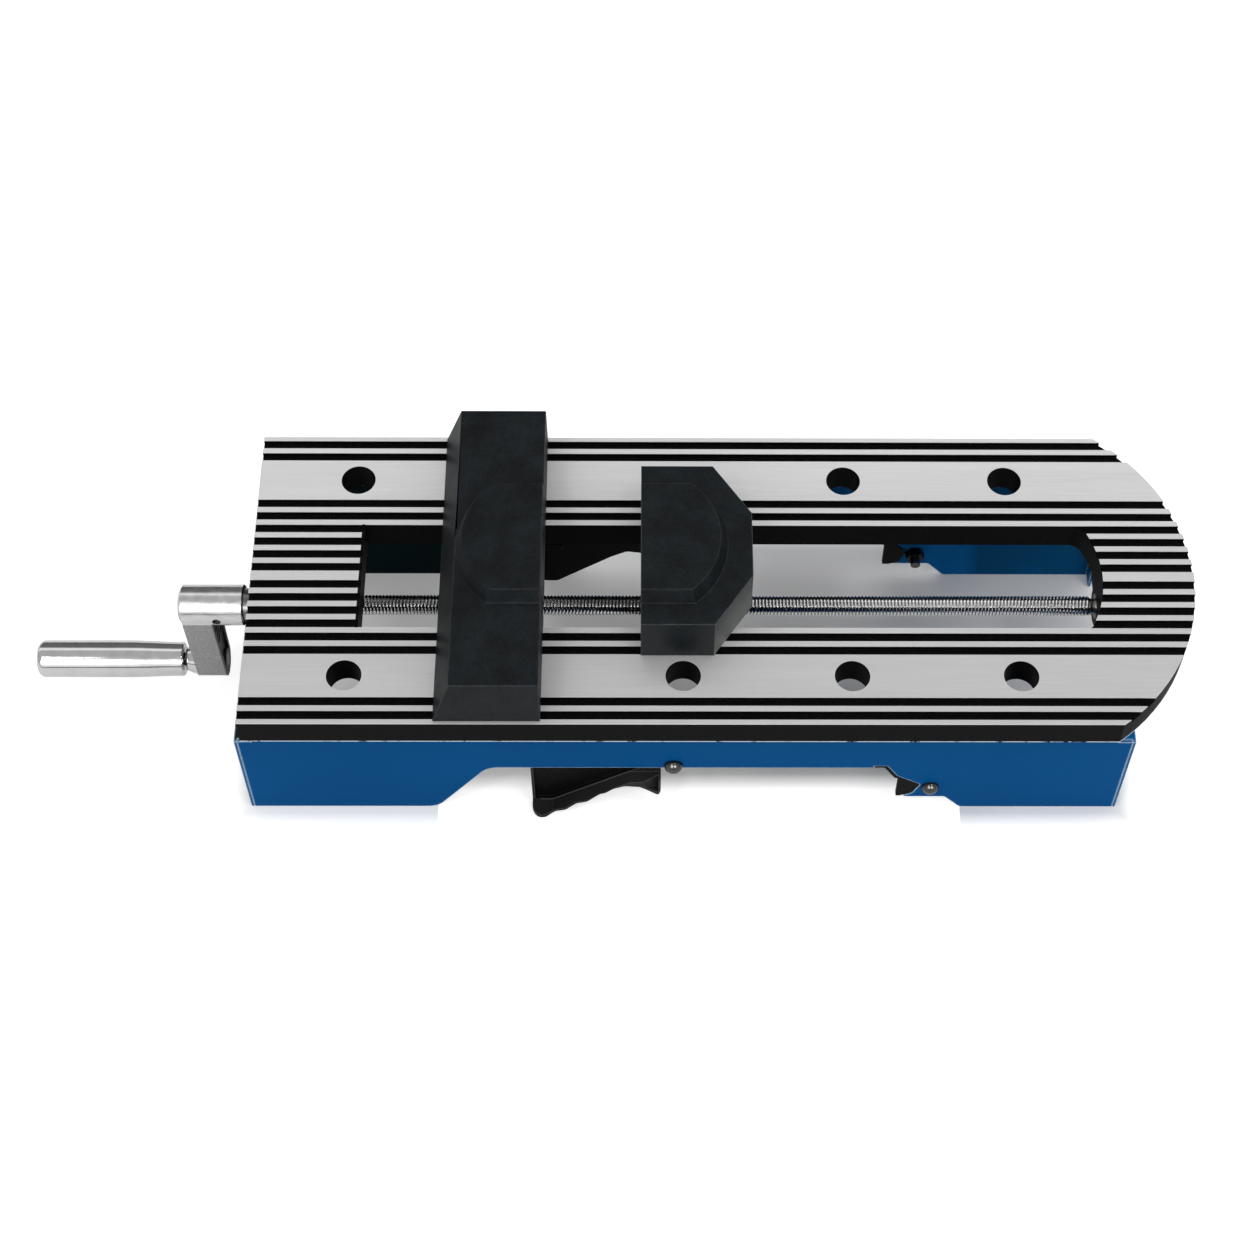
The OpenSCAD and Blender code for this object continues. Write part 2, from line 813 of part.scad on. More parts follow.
module end_collar() {
    collar(end_collar_x, end_collar_x + end_collar_l);
}

// Crank and grip
// Two circles, the upper at z = 0 and the lower at z = -d, joined by their tangents
module link_outline(r1, r2, d) {
    a = asin((r1 - r2) / d);
    circle(r = r1);
    translate([0, -d])
        circle(r = r2);
    polygon([
        [-r1 * cos(a), r1 * -sin(a)],
        [r1 * cos(a), r1 * -sin(a)],
        [r2 * cos(a), -d - r2 * sin(a)],
        [-r2 * cos(a), -d - r2 * sin(a)]
    ]);
}
module link(x0, x1, inset) {
    translate([x0, 0, screw_z])
        rotate([90, 0, 90])
            linear_extrude(x1 - x0)
                link_outline(hub_d / 2 - inset, arm_foot_w / 2 - inset, crank_throw);
}
module crank() {
    color(steel)
        placed()
            difference() {
                union() {
                    translate([hub_left, 0, screw_z])
                        rotate([0, 90, 0])
                            rotate_extrude()
                                difference() {
                                    polygon(rounded([
                                        [-hub_d / 2, 0, hub_round],
                                        [hub_d / 2, 0, hub_round],
                                        [hub_d / 2, hub_l, hub_edge],
                                        [-hub_d / 2, hub_l, hub_edge]
                                    ], 8));
                                    translate([-hub_d, -over])
                                        square([hub_d, hub_l + 2 * over]);
                                }
                    link(arm_left, arm_right, 0);
                }
                difference() {
                    link(arm_right - arm_pocket_d, arm_right + over, arm_pocket_wall);
                    rod_x(hub_d, arm_left, arm_right + 2 * over, screw_z);
                    rod_x(spindle_d + 2 * arm_pocket_wall, arm_left, arm_right + 2 * over, grip_z);
                    for (i = [1 : arm_ribs])
                        translate([arm_left, -hub_d / 2, screw_z - hub_d / 2 - i * arm_rib_pitch])
                            cube([arm_t - arm_pocket_d / 2, hub_d, arm_rib_w]);
                }
                rod_x(journal_d + 2 * fit_gap, hub_right - journal_end - hole_gap, hub_right + over, screw_z);
                rod_x(spindle_d + 2 * fit_gap, arm_left - over, arm_right + over, grip_z);
                translate([hub_right - set_screw_x, 0, screw_z])
                    rod_y(set_screw_d, -hub_d, 0);
            }
}
module crank_set_screw() {
    color(dark_steel)
        placed()
            translate([hub_right - set_screw_x, -journal_d / 2 - slide_gap - set_screw_l, screw_z])
                difference() {
                    rod_y(set_screw_d - 2 * fit_gap, 0, set_screw_l);
                    translate([0, -over, 0])
                        rotate([-90, 0, 0])
                            cylinder(d = set_screw_socket, h = set_screw_socket_l + over, $fn = 6);
                }
}
module grip_spindle() {
    color(steel)
        placed()
            rod_x(spindle_d, grip_left + spindle_end_wall + hole_gap, arm_right, grip_z);
}
module grip_ferrule() {
    color(chrome)
        placed()
            difference() {
                translate([arm_left - ferrule_l, 0, grip_z])
                    rotate([0, 90, 0])
                        cylinder(d1 = ferrule_small_d, d2 = ferrule_big_d, h = ferrule_l);
                rod_x(spindle_d + 2 * fit_gap, arm_left - ferrule_l - over, arm_left + over, grip_z);
            }
}
module hand_grip() {
    color(chrome)
        placed()
            difference() {
                translate([grip_left, 0, grip_z])
                    rotate([0, 90, 0])
                        rotate_extrude()
                            difference() {
                                polygon(rounded([
                                    [-grip_d / 2, 0, grip_round],
                                    [grip_d / 2, 0, grip_round],
                                    [grip_d / 2, grip_l - grip_neck_l, grip_neck_l],
                                    [grip_neck_d / 2, grip_l, grip_edge],
                                    [-grip_neck_d / 2, grip_l, grip_edge],
                                    [-grip_d / 2, grip_l - grip_neck_l, grip_neck_l]
                                ], 8));
                                translate([-grip_d, -over])
                                    square([grip_d, grip_l + 2 * over]);
                            }
                rod_x(spindle_d + 2 * run_gap, grip_left + spindle_end_wall, grip_right + over, grip_z);
            }
}

// Jaws
// The D-shaped boss on a jaw whose face is at x = 0, its back towards dir along x
module jaw_boss(dir) {
    centre_x = dir * (boss_l - boss_r);
    translate([0, 0, bed_top + slide_gap + jaw_h])
        intersection() {
            translate([min(0, dir * (boss_l + boss_draft)), -boss_w, 0])
                cube([boss_l + boss_draft, 2 * boss_w, boss_h]);
            translate([centre_x, 0, 0])
                cylinder(r1 = boss_r + boss_draft, r2 = boss_r, h = boss_h, $fn = 160);
            translate([-boss_l - boss_draft, 0, 0])
                rotate([90, 0, 90])
                    linear_extrude(2 * (boss_l + boss_draft))
                        polygon([
                            [-boss_w / 2 - boss_draft, 0],
                            [boss_w / 2 + boss_draft, 0],
                            [boss_w / 2, boss_h],
                            [-boss_w / 2, boss_h]
                        ]);
        }
}
module moving_jaw() {
    color(cast_black)
        placed()
            difference() {
                union() {
                    translate([0, 0, bed_top + slide_gap])
                        linear_extrude(jaw_h)
                            polygon([
                                [-jaw_face, -jaw_w / 2],
                                [-jaw_face + jaw_straight, -jaw_w / 2],
                                [-jaw_face + jaw_l, -jaw_nose_w / 2],
                                [-jaw_face + jaw_l, jaw_nose_w / 2],
                                [-jaw_face + jaw_straight, jaw_w / 2],
                                [-jaw_face, jaw_w / 2]
                            ]);
                    translate([-jaw_face, 0, 0])
                        jaw_boss(1);
                    translate([-jaw_face + tongue_back, -slot_w / 2 + hole_gap, bed_under - slide_gap])
                        cube([tongue_l, slot_w - 2 * hole_gap, bed_t + slide_gap + over]);
                }
                carriage_screw_places()
                    translate([0, 0, bed_under - over])
                        cylinder(d = carriage_screw_d, h = carriage_screw_in + over);
            }
}
module carriage_screw_places() {
    for (x = [carriage_screw_x, tongue_l - carriage_screw_x], y = [-1, 1])
        translate([-jaw_face + tongue_back + x, y * carriage_screw_y, 0])
            children();
}
module jaw_carriage() {
    top = bed_under - slide_gap;
    color(dark_steel)
        placed()
            difference() {
                translate([-jaw_face + tongue_back, 0, 0])
                    union() {
                        translate([0, -carriage_w / 2, screw_z - carriage_low])
                            cube([tongue_l, carriage_w, top - screw_z + carriage_low]);
                        translate([0, -wing_w / 2, top - wing_t])
                            cube([tongue_l, wing_w, wing_t]);
                    }
                rod_x(nut_d, -jaw_face, -jaw_face + jaw_l, screw_z);
                carriage_screw_places() {
                    translate([0, 0, top - wing_t - over])
                        cylinder(d = carriage_screw_d + 2 * hole_gap, h = wing_t + 2 * over);
                    translate([0, 0, top - wing_t - over])
                        cylinder(d = carriage_screw_head_d + 2 * hole_gap, h = carriage_screw_head_t + over);
                }
            }
}
module screw_nut() {
    x0 = -jaw_face + tongue_back;
    color(bronze)
        placed()
            difference() {
                union() {
                    rod_x(nut_d - 2 * fit_gap, x0, x0 + tongue_l + over, screw_z);
                    rod_x(nut_flange_d, x0 + tongue_l, x0 + tongue_l + nut_flange_t, screw_z);
                }
                rod_x(screw_d + 2 * run_gap, x0 - over, x0 + tongue_l + nut_flange_t + over, screw_z);
            }
}
module carriage_screws() {
    top = bed_under - slide_gap;
    color(dark_steel)
        placed()
            carriage_screw_places() {
                translate([0, 0, top - wing_t])
                    cylinder(d = carriage_screw_head_d, h = carriage_screw_head_t);
                translate([0, 0, top - wing_t + carriage_screw_head_t - over])
                    cylinder(d = carriage_screw_d - 2 * fit_gap,
                        h = carriage_screw_in + wing_t - carriage_screw_head_t);
            }
}
module fixed_jaw() {
    z0 = bed_top + slide_gap;
    color(cast_black)
        placed()
            difference() {
                union() {
                    intersection() {
                        side_prism(-fixed_w / 2, fixed_w / 2)
                            polygon([
                                [fixed_face - fixed_l, z0],
                                [fixed_face, z0],
                                [fixed_face, z0 + jaw_h],
                                [fixed_face - fixed_l + fixed_slope, z0 + jaw_h]
                            ]);
                        translate([fixed_face - fixed_l, 0, z0])
                            rotate([90, 0, 90])
                                linear_extrude(fixed_l)
                                    polygon([
                                        [-fixed_w / 2, 0],
                                        [fixed_w / 2, 0],
                                        [fixed_w / 2 - fixed_draft, jaw_h],
                                        [-fixed_w / 2 + fixed_draft, jaw_h]
                                    ]);
                    }
                    translate([fixed_face, 0, 0])
                        jaw_boss(-1);
                }
                both_sides()
                    translate([-hole_pitch, hole_y, z0 - over]) {
                        cylinder(d = peg_spigot_d + 2 * fit_gap, h = spigot_in + slide_gap + over);
                        cylinder(d = peg_screw_d, h = peg_screw_in + over);
                    }
            }
}
module jaw_pegs() {
    z0 = bed_top + slide_gap;
    color(steel)
        placed()
            both_sides()
                translate([-hole_pitch, hole_y, 0])
                    difference() {
                        union() {
                            translate([0, 0, bed_top - peg_l])
                                cylinder(d = hole_d - 2 * run_gap, h = peg_l + slide_gap);
                            translate([0, 0, z0 - over])
                                cylinder(d = peg_spigot_d, h = spigot_in + over);
                        }
                        translate([0, 0, bed_top - peg_l - over])
                            cylinder(d = peg_screw_d + 2 * hole_gap, h = peg_l + spigot_in + 3 * over);
                        translate([0, 0, bed_top - peg_l - over])
                            cylinder(d = peg_screw_head_d + 2 * hole_gap, h = peg_screw_head_t + over);
                    }
}
module peg_screws() {
    color(dark_steel)
        placed()
            both_sides()
                translate([-hole_pitch, hole_y, bed_top - peg_l]) {
                    cylinder(d = peg_screw_head_d, h = peg_screw_head_t);
                    cylinder(d = peg_screw_d - 2 * fit_gap, h = peg_l + slide_gap + peg_screw_in - over);
                }
}

bed();
side_wall_front();
side_wall_rear();
end_plate_left();
end_plate_right();
bed_screws();
notch_block_front();
notch_block_rear();
notch_bolts();
notch_nuts();
lever_axle();
axle_caps();
release_lever();
lever_spring_front();
lever_spring_rear();
lead_screw();
left_bushing();
right_bushing();
drive_collar();
end_collar();
crank();
crank_set_screw();
grip_spindle();
grip_ferrule();
hand_grip();
moving_jaw();
jaw_carriage();
screw_nut();
carriage_screws();
fixed_jaw();
jaw_pegs();
peg_screws();
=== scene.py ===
# %% [markdown]
# A quick-release bench vise, dressed for the camera.
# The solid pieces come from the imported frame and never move. This script gives each one
# its finish, and rebuilds the pieces whose real surface has more in it than the solid:
# cast and ground edges, a wound screw thread, a turned grip and a coarse moulded lever.
# Everything is in metres, in the frame's own axes: +X away from the crank, +Z up.

# %% Load the frame
import json
import math
import bmesh
import bpy
from mathutils import Matrix, Vector

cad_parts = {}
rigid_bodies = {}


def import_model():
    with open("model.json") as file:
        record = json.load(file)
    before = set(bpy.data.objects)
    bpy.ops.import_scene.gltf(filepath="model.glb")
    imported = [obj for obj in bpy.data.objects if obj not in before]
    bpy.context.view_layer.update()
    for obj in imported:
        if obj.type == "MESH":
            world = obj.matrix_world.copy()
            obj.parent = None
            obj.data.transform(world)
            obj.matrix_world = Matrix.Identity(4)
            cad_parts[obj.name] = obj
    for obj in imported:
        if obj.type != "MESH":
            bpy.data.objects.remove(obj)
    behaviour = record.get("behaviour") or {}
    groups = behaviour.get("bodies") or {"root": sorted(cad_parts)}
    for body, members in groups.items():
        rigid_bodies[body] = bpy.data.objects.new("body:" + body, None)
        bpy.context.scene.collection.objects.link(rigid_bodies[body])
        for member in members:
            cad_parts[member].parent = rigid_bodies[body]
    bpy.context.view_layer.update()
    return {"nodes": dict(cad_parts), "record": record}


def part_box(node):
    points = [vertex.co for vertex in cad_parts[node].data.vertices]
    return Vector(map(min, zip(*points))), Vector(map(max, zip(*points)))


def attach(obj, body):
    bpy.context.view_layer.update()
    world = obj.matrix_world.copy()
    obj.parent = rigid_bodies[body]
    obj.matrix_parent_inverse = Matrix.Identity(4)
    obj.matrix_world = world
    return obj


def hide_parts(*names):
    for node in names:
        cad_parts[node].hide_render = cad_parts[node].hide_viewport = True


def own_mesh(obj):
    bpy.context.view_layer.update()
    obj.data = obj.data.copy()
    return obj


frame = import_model()


# %% [markdown]
# The camera comes first. The photograph was taken from well above the near side with a
# long lens. The lens axis isn't at the middle of the picture, so the camera has a small
# sideways shift and its angles are given as tilt, turn and roll.

# %% Camera
PICTURE = 1238
FOCAL_PIXELS = 2489.6
AXIS_PIXEL = 676.05
SENSOR_MM = 36
FAR_CLIP = 20
TILT = math.radians(57.95)
TURN = math.radians(1.203)
ROLL = math.radians(1.106)
HOLE_FROM_BED_END = 0.248
MIDDLE_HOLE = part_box("bed")[0].x + HOLE_FROM_BED_END
BED_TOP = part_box("bed")[1].z
CAMERA_FROM_BED = Vector((-0.01959, -0.77994, 1.19922))


def camera_axes():
    aim = Matrix((
        (1, 0, 0),
        (0, math.sin(TILT), math.cos(TILT)),
        (0, -math.cos(TILT), math.sin(TILT)),
    ))
    roll = Matrix((
        (math.cos(ROLL), math.sin(ROLL), 0),
        (-math.sin(ROLL), math.cos(ROLL), 0),
        (0, 0, 1),
    ))
    turn = Matrix((
        (math.cos(TURN), -math.sin(TURN), 0),
        (math.sin(TURN), math.cos(TURN), 0),
        (0, 0, 1),
    ))
    return (roll @ aim @ turn).transposed()


lens = bpy.data.cameras.new("camera")
lens.sensor_width = SENSOR_MM
lens.lens = FOCAL_PIXELS / PICTURE * lens.sensor_width
lens.shift_x = (PICTURE / 2 - AXIS_PIXEL) / PICTURE
lens.clip_end = FAR_CLIP
camera = bpy.data.objects.new("camera", lens)
bpy.context.scene.collection.objects.link(camera)
place = camera_axes().to_4x4()
place.translation = CAMERA_FROM_BED + Vector((MIDDLE_HOLE, 0, BED_TOP))
camera.matrix_world = place
bpy.context.scene.camera = camera
print("camera at", [round(v, 3) for v in place.translation], "lens", round(lens.lens, 1), "mm")

# %% [markdown]
# Shader maths reads best as plain arithmetic. `Value` wraps a socket so that `mask * 0.5`
# or `1 - mask` adds the Math node that does it, and `Nodes.add` makes any other node from
# its type, its settings and what goes into its sockets. In the finishes below, the numbers
# after the place in `noise` are its scale, detail and roughness, and `between` turns a
# range of values into 0 to 1.

# %% Shader helpers
EDGE_SAMPLES = 6
EDGE_FROM, EDGE_TO = 0.02, 0.2
# How deep the grain of castings and mouldings, of sprayed paint and of metal is
CAST_GRAIN, PAINT_GRAIN, METAL_GRAIN = 0.0003, 0.0004, 0.0002


class Value:
    def __init__(self, nodes, socket):
        self.nodes = nodes
        self.socket = socket

    def maths(self, operation, other=None, flip=False):
        pair = [self] if other is None else ([other, self] if flip else [self, other])
        return self.nodes.add("ShaderNodeMath", {"operation": operation}, pair)

    def __add__(self, other): return self.maths("ADD", other)
    def __sub__(self, other): return self.maths("SUBTRACT", other)
    def __rsub__(self, other): return self.maths("SUBTRACT", other, True)
    def __mul__(self, other): return self.maths("MULTIPLY", other)
    def __gt__(self, other): return self.maths("GREATER_THAN", other)
    def __lt__(self, other): return self.maths("LESS_THAN", other)
    def power(self, other): return self.maths("POWER", other)
    def most(self, other): return self.maths("MAXIMUM", other)
    def size(self): return self.maths("ABSOLUTE")

    def between(self, low, high, out_low=0.0, out_high=1.0):
        return self.nodes.add("ShaderNodeMapRange", {}, {
            "Value": self, "From Min": low, "From Max": high,
            "To Min": out_low, "To Max": out_high})


class Nodes:
    """The nodes of a material, or of the world, and the shader that they feed."""

    def __init__(self, owner, shader="Principled BSDF"):
        owner.use_nodes = True
        self.owner = owner
        self.tree = owner.node_tree
        self.shader = self.tree.nodes[shader]

    def add(self, kind, settings, inputs=(), out=0):
        node = self.tree.nodes.new(kind)
        for key, value in settings.items():
            if key == "stops":
                ramp = node.color_ramp
                for i, (at, colour) in enumerate(value):
                    stop = ramp.elements[i] if i < 2 else ramp.elements.new(at)
                    stop.position = at
                    stop.color = colour
            else:
                setattr(node, key, value)
        pairs = inputs.items() if isinstance(inputs, dict) else enumerate(inputs)
        for key, value in pairs:
            self.plug(node.inputs[key], value)
        return Value(self, node.outputs[out])

    def plug(self, socket, value):
        if isinstance(value, Value):
            self.tree.links.new(value.socket, socket)
        else:
            socket.default_value = value

    def set(self, **values):
        for key, value in values.items():
            self.plug(self.shader.inputs[key.replace("_", " ")], value)

    def place(self):
        return self.add("ShaderNodeTexCoord", {}, out="Object")

    def parts(self, vector):
        first = self.add("ShaderNodeSeparateXYZ", {}, [vector])
        return [Value(self, socket) for socket in first.socket.node.outputs]

    def stretched(self, vector, scale):
        return self.add("ShaderNodeMapping", {}, {"Vector": vector, "Scale": scale})

    def noise(self, vector, scale, detail=4.0, rough=0.55):
        return self.add("ShaderNodeTexNoise", {}, {
            "Vector": vector, "Scale": scale, "Detail": detail, "Roughness": rough})

    def mix(self, share, a, b):
        # The Mix node has sockets for every type. Its share is 0, its colours are 6 and 7
        return self.add("ShaderNodeMix", {"data_type": "RGBA"}, {0: share, 6: a, 7: b}, out=2)

    def bump(self, height, strength, distance):
        self.plug(self.shader.inputs["Normal"], self.add("ShaderNodeBump", {}, {
            "Strength": strength, "Distance": distance, "Height": height}))

    def painted_edge_highlight(self, radius):
        """Painted highlight mask: how much a place is an outer edge, 0 to 1, from two normals."""
        bevel = self.add("ShaderNodeBevel", {"samples": EDGE_SAMPLES}, {"Radius": radius})
        plain = self.add("ShaderNodeNewGeometry", {}, out="Normal")
        same = self.add("ShaderNodeVectorMath", {"operation": "DOT_PRODUCT"},
                        [bevel, plain], out="Value")
        return (1 - same).between(EDGE_FROM, EDGE_TO)


def grey(v):
    return (v, v, v, 1)


print("shader helpers:", Value.__name__, "and", Nodes.__name__)

# %% [markdown]
# Ground steel lands. The bed is a black-painted casting whose top was ground flat after
# painting, so one solid carries two finishes. Height decides which: what lies at the very
# top is bright metal with scratches that run along the bed, and the rest is paint. The
# paint laps about a millimetre over the slot's square end. The near lands carry painted
# shade and the far ones painted light, a painted highlight runs along the edges, and the
# lower edge has a painted highlight: a thin bluish line broken up by noise.

# %% Bed finish
SLOT_FROM_MIDDLE, SLOT_HALF = 0.1845, 0.0353
LAP_BACK, LAP_FRONT = 0.0013, 0.0003
GROUND_DEPTH = 0.00045
LINE_HIGHLIGHT_HEIGHT = 0.0009
RIM_FROM_AXIS, RIM_FROM_MIDDLE = 0.0875, 0.2436
LINE_HIGHLIGHT_BLUE = (0.75, 0.85, 0.92, 1)
BED_HIGHLIGHT_RADIUS = 0.0006
LAND_SHADE_NEAR_Y, LAND_LIGHT_FAR_Y = -0.06, 0.08


def bed_finish():
    n = Nodes(bpy.data.materials.new("bed_finish"))
    place = n.place()
    x, y, z = n.parts(place)
    slot_end = MIDDLE_HOLE - SLOT_FROM_MIDDLE
    lap = (x > slot_end - LAP_BACK) * (x < slot_end + LAP_FRONT) * (y.size() < SLOT_HALF)
    land = (z > BED_TOP - GROUND_DEPTH) * (1 - lap)
    rim = (y.size() > RIM_FROM_AXIS).most(x > MIDDLE_HOLE + RIM_FROM_MIDDLE)
    # The lower edge's thin bluish line is a painted highlight, broken up by noise
    low = (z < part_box("jaw_carriage")[1].z + LINE_HIGHLIGHT_HEIGHT) * rim
    line_breakup = n.noise(place, 120, 4, 0.7).between(0.36, 0.46)
    fine = n.noise(n.stretched(place, (9, 900, 900)), 3, 6, 0.7)
    broad = n.noise(n.stretched(place, (2, 40, 40)), 2, 3)
    # A painted highlight along the edges of the lands and of the paint
    edge = n.painted_edge_highlight(BED_HIGHLIGHT_RADIUS)
    ground = (fine * 0.7 + broad * 0.3).between(0.3, 0.7)
    # The near lands carry painted shade and the far lands painted light
    painted_shade_near_lands = n.mix(ground, grey(0.51), grey(0.63))
    painted_light_far_lands = n.mix(ground, grey(0.64), grey(0.8))
    steel = n.mix(y.between(LAND_SHADE_NEAR_Y, LAND_LIGHT_FAR_Y), painted_shade_near_lands, painted_light_far_lands)
    bright = n.mix(edge, steel, grey(0.9))
    grain = n.noise(place, 700, 3, 0.6)
    paint = n.mix(grain.between(0.35, 0.75), grey(0.0015), grey(0.0055))
    paint_with_edge_highlight = n.mix(edge * grain * 0.35, paint, grey(0.06))
    black_with_painted_light = n.mix(low * line_breakup, paint_with_edge_highlight, LINE_HIGHLIGHT_BLUE)
    n.set(Base_Color=n.mix(land, black_with_painted_light, bright))
    n.set(Metallic=land * 0.45, Specular_IOR_Level=0.03)
    n.set(Roughness=land * (fine * 0.12 + 0.42) + (1 - land) * (grain * 0.25 + 0.4))
    n.bump(grain * (1 - land) + fine * land * 0.5, 0.35, CAST_GRAIN)
    return n.owner


BED_FINISH = bed_finish()
print("finish:", BED_FINISH.name)

# %% [markdown]
# Blue powder coat: a smooth sprayed film with a faint orange peel and a pale painted
# highlight along its edges. The inner faces show through the slot with painted shade at
# the crank end and painted light in patches further on.

# %% Blue sheet finish
SHEET_SKIN = 0.0012
SHEET_HIGHLIGHT_RADIUS = 0.0013
SHADE_LEFT, SHADE_RIGHT = 0.1, 0.12
EDGE_HIGHLIGHT_BLUE = (0.6, 0.78, 0.9, 1)


def blue_finish():
    n = Nodes(bpy.data.materials.new("blue_powder_coat"))
    place = n.place()
    peel = n.noise(place, 420, 2, 0.5)
    cloud = n.noise(place, 9, 3)
    # A pale painted highlight along the sheet's edges
    edge = n.painted_edge_highlight(SHEET_HIGHLIGHT_RADIUS)
    blue = n.mix(cloud.between(0.35, 0.65), (0.0008, 0.078, 0.25, 1), (0.0012, 0.086, 0.27, 1))
    x, y, _ = n.parts(place)
    # Inner faces: painted shade towards the crank end and painted light in patches further on
    inner = y.size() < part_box("side_wall_rear")[1].y - SHEET_SKIN
    shade = x.between(MIDDLE_HOLE - SHADE_LEFT, MIDDLE_HOLE + SHADE_RIGHT)
    patch = n.noise(n.stretched(place, (1, 1, 0.4)), 16, 2).between(0.4, 0.6)
    lit = n.mix(patch, (0.002, 0.095, 0.25, 1), (0.003, 0.17, 0.5, 1))
    painted_inside_shade_light = n.mix(shade, (0.006, 0.022, 0.026, 1), lit)
    n.set(Base_Color=n.mix(edge * 2.2, n.mix(inner, blue, painted_inside_shade_light), EDGE_HIGHLIGHT_BLUE))
    n.set(Roughness=peel * 0.12 + 0.3, Specular_IOR_Level=0.012)
    n.bump(peel, 0.12, PAINT_GRAIN)
    return n.owner


BLUE_FINISH = blue_finish()
print("finish:", BLUE_FINISH.name)

# %% [markdown]
# The jaws are blackened castings with milled faces. Their black is a little cold and blotchy
# from the bath, with a grey painted highlight along the edges, broken up by noise. The
# slanting faces have a painted grey sheen, a painted reflection strongest near the bed.

# %% Jaw finish
SHEEN_RISE = 0.03
JAW_HIGHLIGHT_RADIUS = 0.001


def jaw_finish():
    n = Nodes(bpy.data.materials.new("blackened_jaw"))
    place = n.place()
    z = n.parts(place)[2]
    blotch = n.noise(place, 60, 5, 0.65)
    mill = n.noise(n.stretched(place, (60, 700, 700)), 2, 4, 0.6)
    mottle = n.noise(place, 800, 3, 0.8)
    # A grey painted highlight along the edges, broken up by noise
    edge = n.painted_edge_highlight(JAW_HIGHLIGHT_RADIUS)
    edge_breakup = n.noise(place, 180, 3, 0.6).between(0.3, 0.6)
    depth = (blotch * 0.5 + mottle * 0.5).between(0.38, 0.62)
    black = n.mix(depth, (0.0015, 0.0025, 0.0035, 1), (0.0105, 0.014, 0.016, 1))
    face = n.add("ShaderNodeNewGeometry", {}, out="True Normal")
    east, north, up = n.parts(face)
    slant = (east > 0.5) * (north.size() > 0.4) * (up.size() < 0.1)
    # A painted sheen on the slanting faces: a painted reflection, strongest near the bed
    rising = z.between(BED_TOP, BED_TOP + SHEEN_RISE, 1.0, 0.35)
    painted_sheen = rising * mill.between(0.3, 0.7, 0.7, 1.0)
    skin_with_painted_shading = n.mix(slant * painted_sheen, black, (0.2, 0.21, 0.2, 1))
    n.set(Base_Color=n.mix(edge * (edge_breakup * 0.5 + 0.5), skin_with_painted_shading, (0.14, 0.16, 0.165, 1)))
    n.set(Specular_IOR_Level=0.13, Roughness=blotch * 0.2 + 0.36 + mill * 0.08)
    n.bump(mill * 0.6 + blotch * 0.5 + mottle * 0.4, 0.2, CAST_GRAIN)
    return n.owner


JAW_FINISH = jaw_finish()
print("finish:", JAW_FINISH.name)

# %% [markdown]
# Small metal parts share one recipe: a base colour, how rough it is, and turning marks
# that go round the piece's own axis.

# %% Metal finishes
def metal_finish(name, low, high, rough, marks=(1, 1, 1), scale=400, bump=0.1):
    n = Nodes(bpy.data.materials.new(name))
    place = n.place()
    turned = n.noise(n.stretched(place, marks), scale, 4, 0.65)
    cloud = n.noise(place, 45, 3)
    n.set(Base_Color=n.mix((turned * 0.6 + cloud * 0.4).between(0.3, 0.7), low, high))
    n.set(Metallic=1.0, Roughness=turned * 0.14 + rough)
    n.bump(turned, bump, METAL_GRAIN)
    return n.owner


BRIGHT_FINISH = metal_finish("bright_steel", grey(0.42), grey(0.62), 0.22, (6, 1, 1), 300)
CHROME_FINISH = metal_finish("polished_grip", grey(0.52), grey(0.64), 0.05, (1, 1, 1), 160, 0.02)
BLACK_STEEL = metal_finish("black_oxide", grey(0.012), grey(0.03), 0.3, (1, 1, 1), 300)
GREY_STEEL = metal_finish("grey_steel", grey(0.1), grey(0.2), 0.2, (1, 1, 1), 300)
BRONZE_FINISH = metal_finish(
    "bronze", (0.07, 0.04, 0.016, 1), (0.14, 0.085, 0.035, 1), 0.3, (6, 1, 1))
for made in (BRIGHT_FINISH, CHROME_FINISH, BLACK_STEEL, GREY_STEEL, BRONZE_FINISH):
    print("metal finish:", made.name)

# %% [markdown]
# The screw's crests are bright steel, and its thread roots are painted dark as shade down
# in the thread. How far a place is from the screw's axis tells which of the two it is.
# The dome caps and bolts are dipped in a black gloss that mirrors the lamps.

# %% Screw and gloss black
THREAD_DEPTH = 0.0008
CREST_RAMP_END = 0.0001


def screw_finish():
    n = Nodes(bpy.data.materials.new("screw_painted_groove_shade"))
    place = n.place()
    _, y, z = n.parts(place)
    low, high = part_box("lead_screw")
    crest_r = (high.z - low.z) / 2
    up = z - (high.z + low.z) / 2
    out = (y * y + up * up).power(0.5)
    # The thread roots are painted dark: painted shade down in the thread
    crest = out.between(crest_r - THREAD_DEPTH, crest_r - CREST_RAMP_END)
    film = n.noise(n.stretched(place, (3, 1, 1)), 500, 3, 0.6)
    steel = n.mix(film.between(0.35, 0.65), grey(0.74), grey(0.94))
    n.set(Base_Color=n.mix(crest, grey(0.26), steel))
    n.set(Metallic=1.0, Roughness=film * 0.1 + 0.14)
    return n.owner


def gloss_black():
    n = Nodes(bpy.data.materials.new("gloss_black"))
    place = n.place()
    dimple = n.noise(place, 600, 2, 0.5)
    n.set(Base_Color=n.mix(dimple.between(0.4, 0.6), grey(0.002), grey(0.006)))
    n.set(Roughness=dimple * 0.06 + 0.08, Specular_IOR_Level=0.9)
    n.bump(dimple, 0.05, METAL_GRAIN)
    return n.owner


SCREW_FINISH = screw_finish()
GLOSS_BLACK = gloss_black()
print("finishes:", SCREW_FINISH.name, "and", GLOSS_BLACK.name)

# %% [markdown]
# The crank is a casting. Its hub is turned and buffed, the flat arm is only blasted, so it
# is a matt grey, and the side that faces the bed is painted near black as shade, with a
# painted highlight along its ribs.

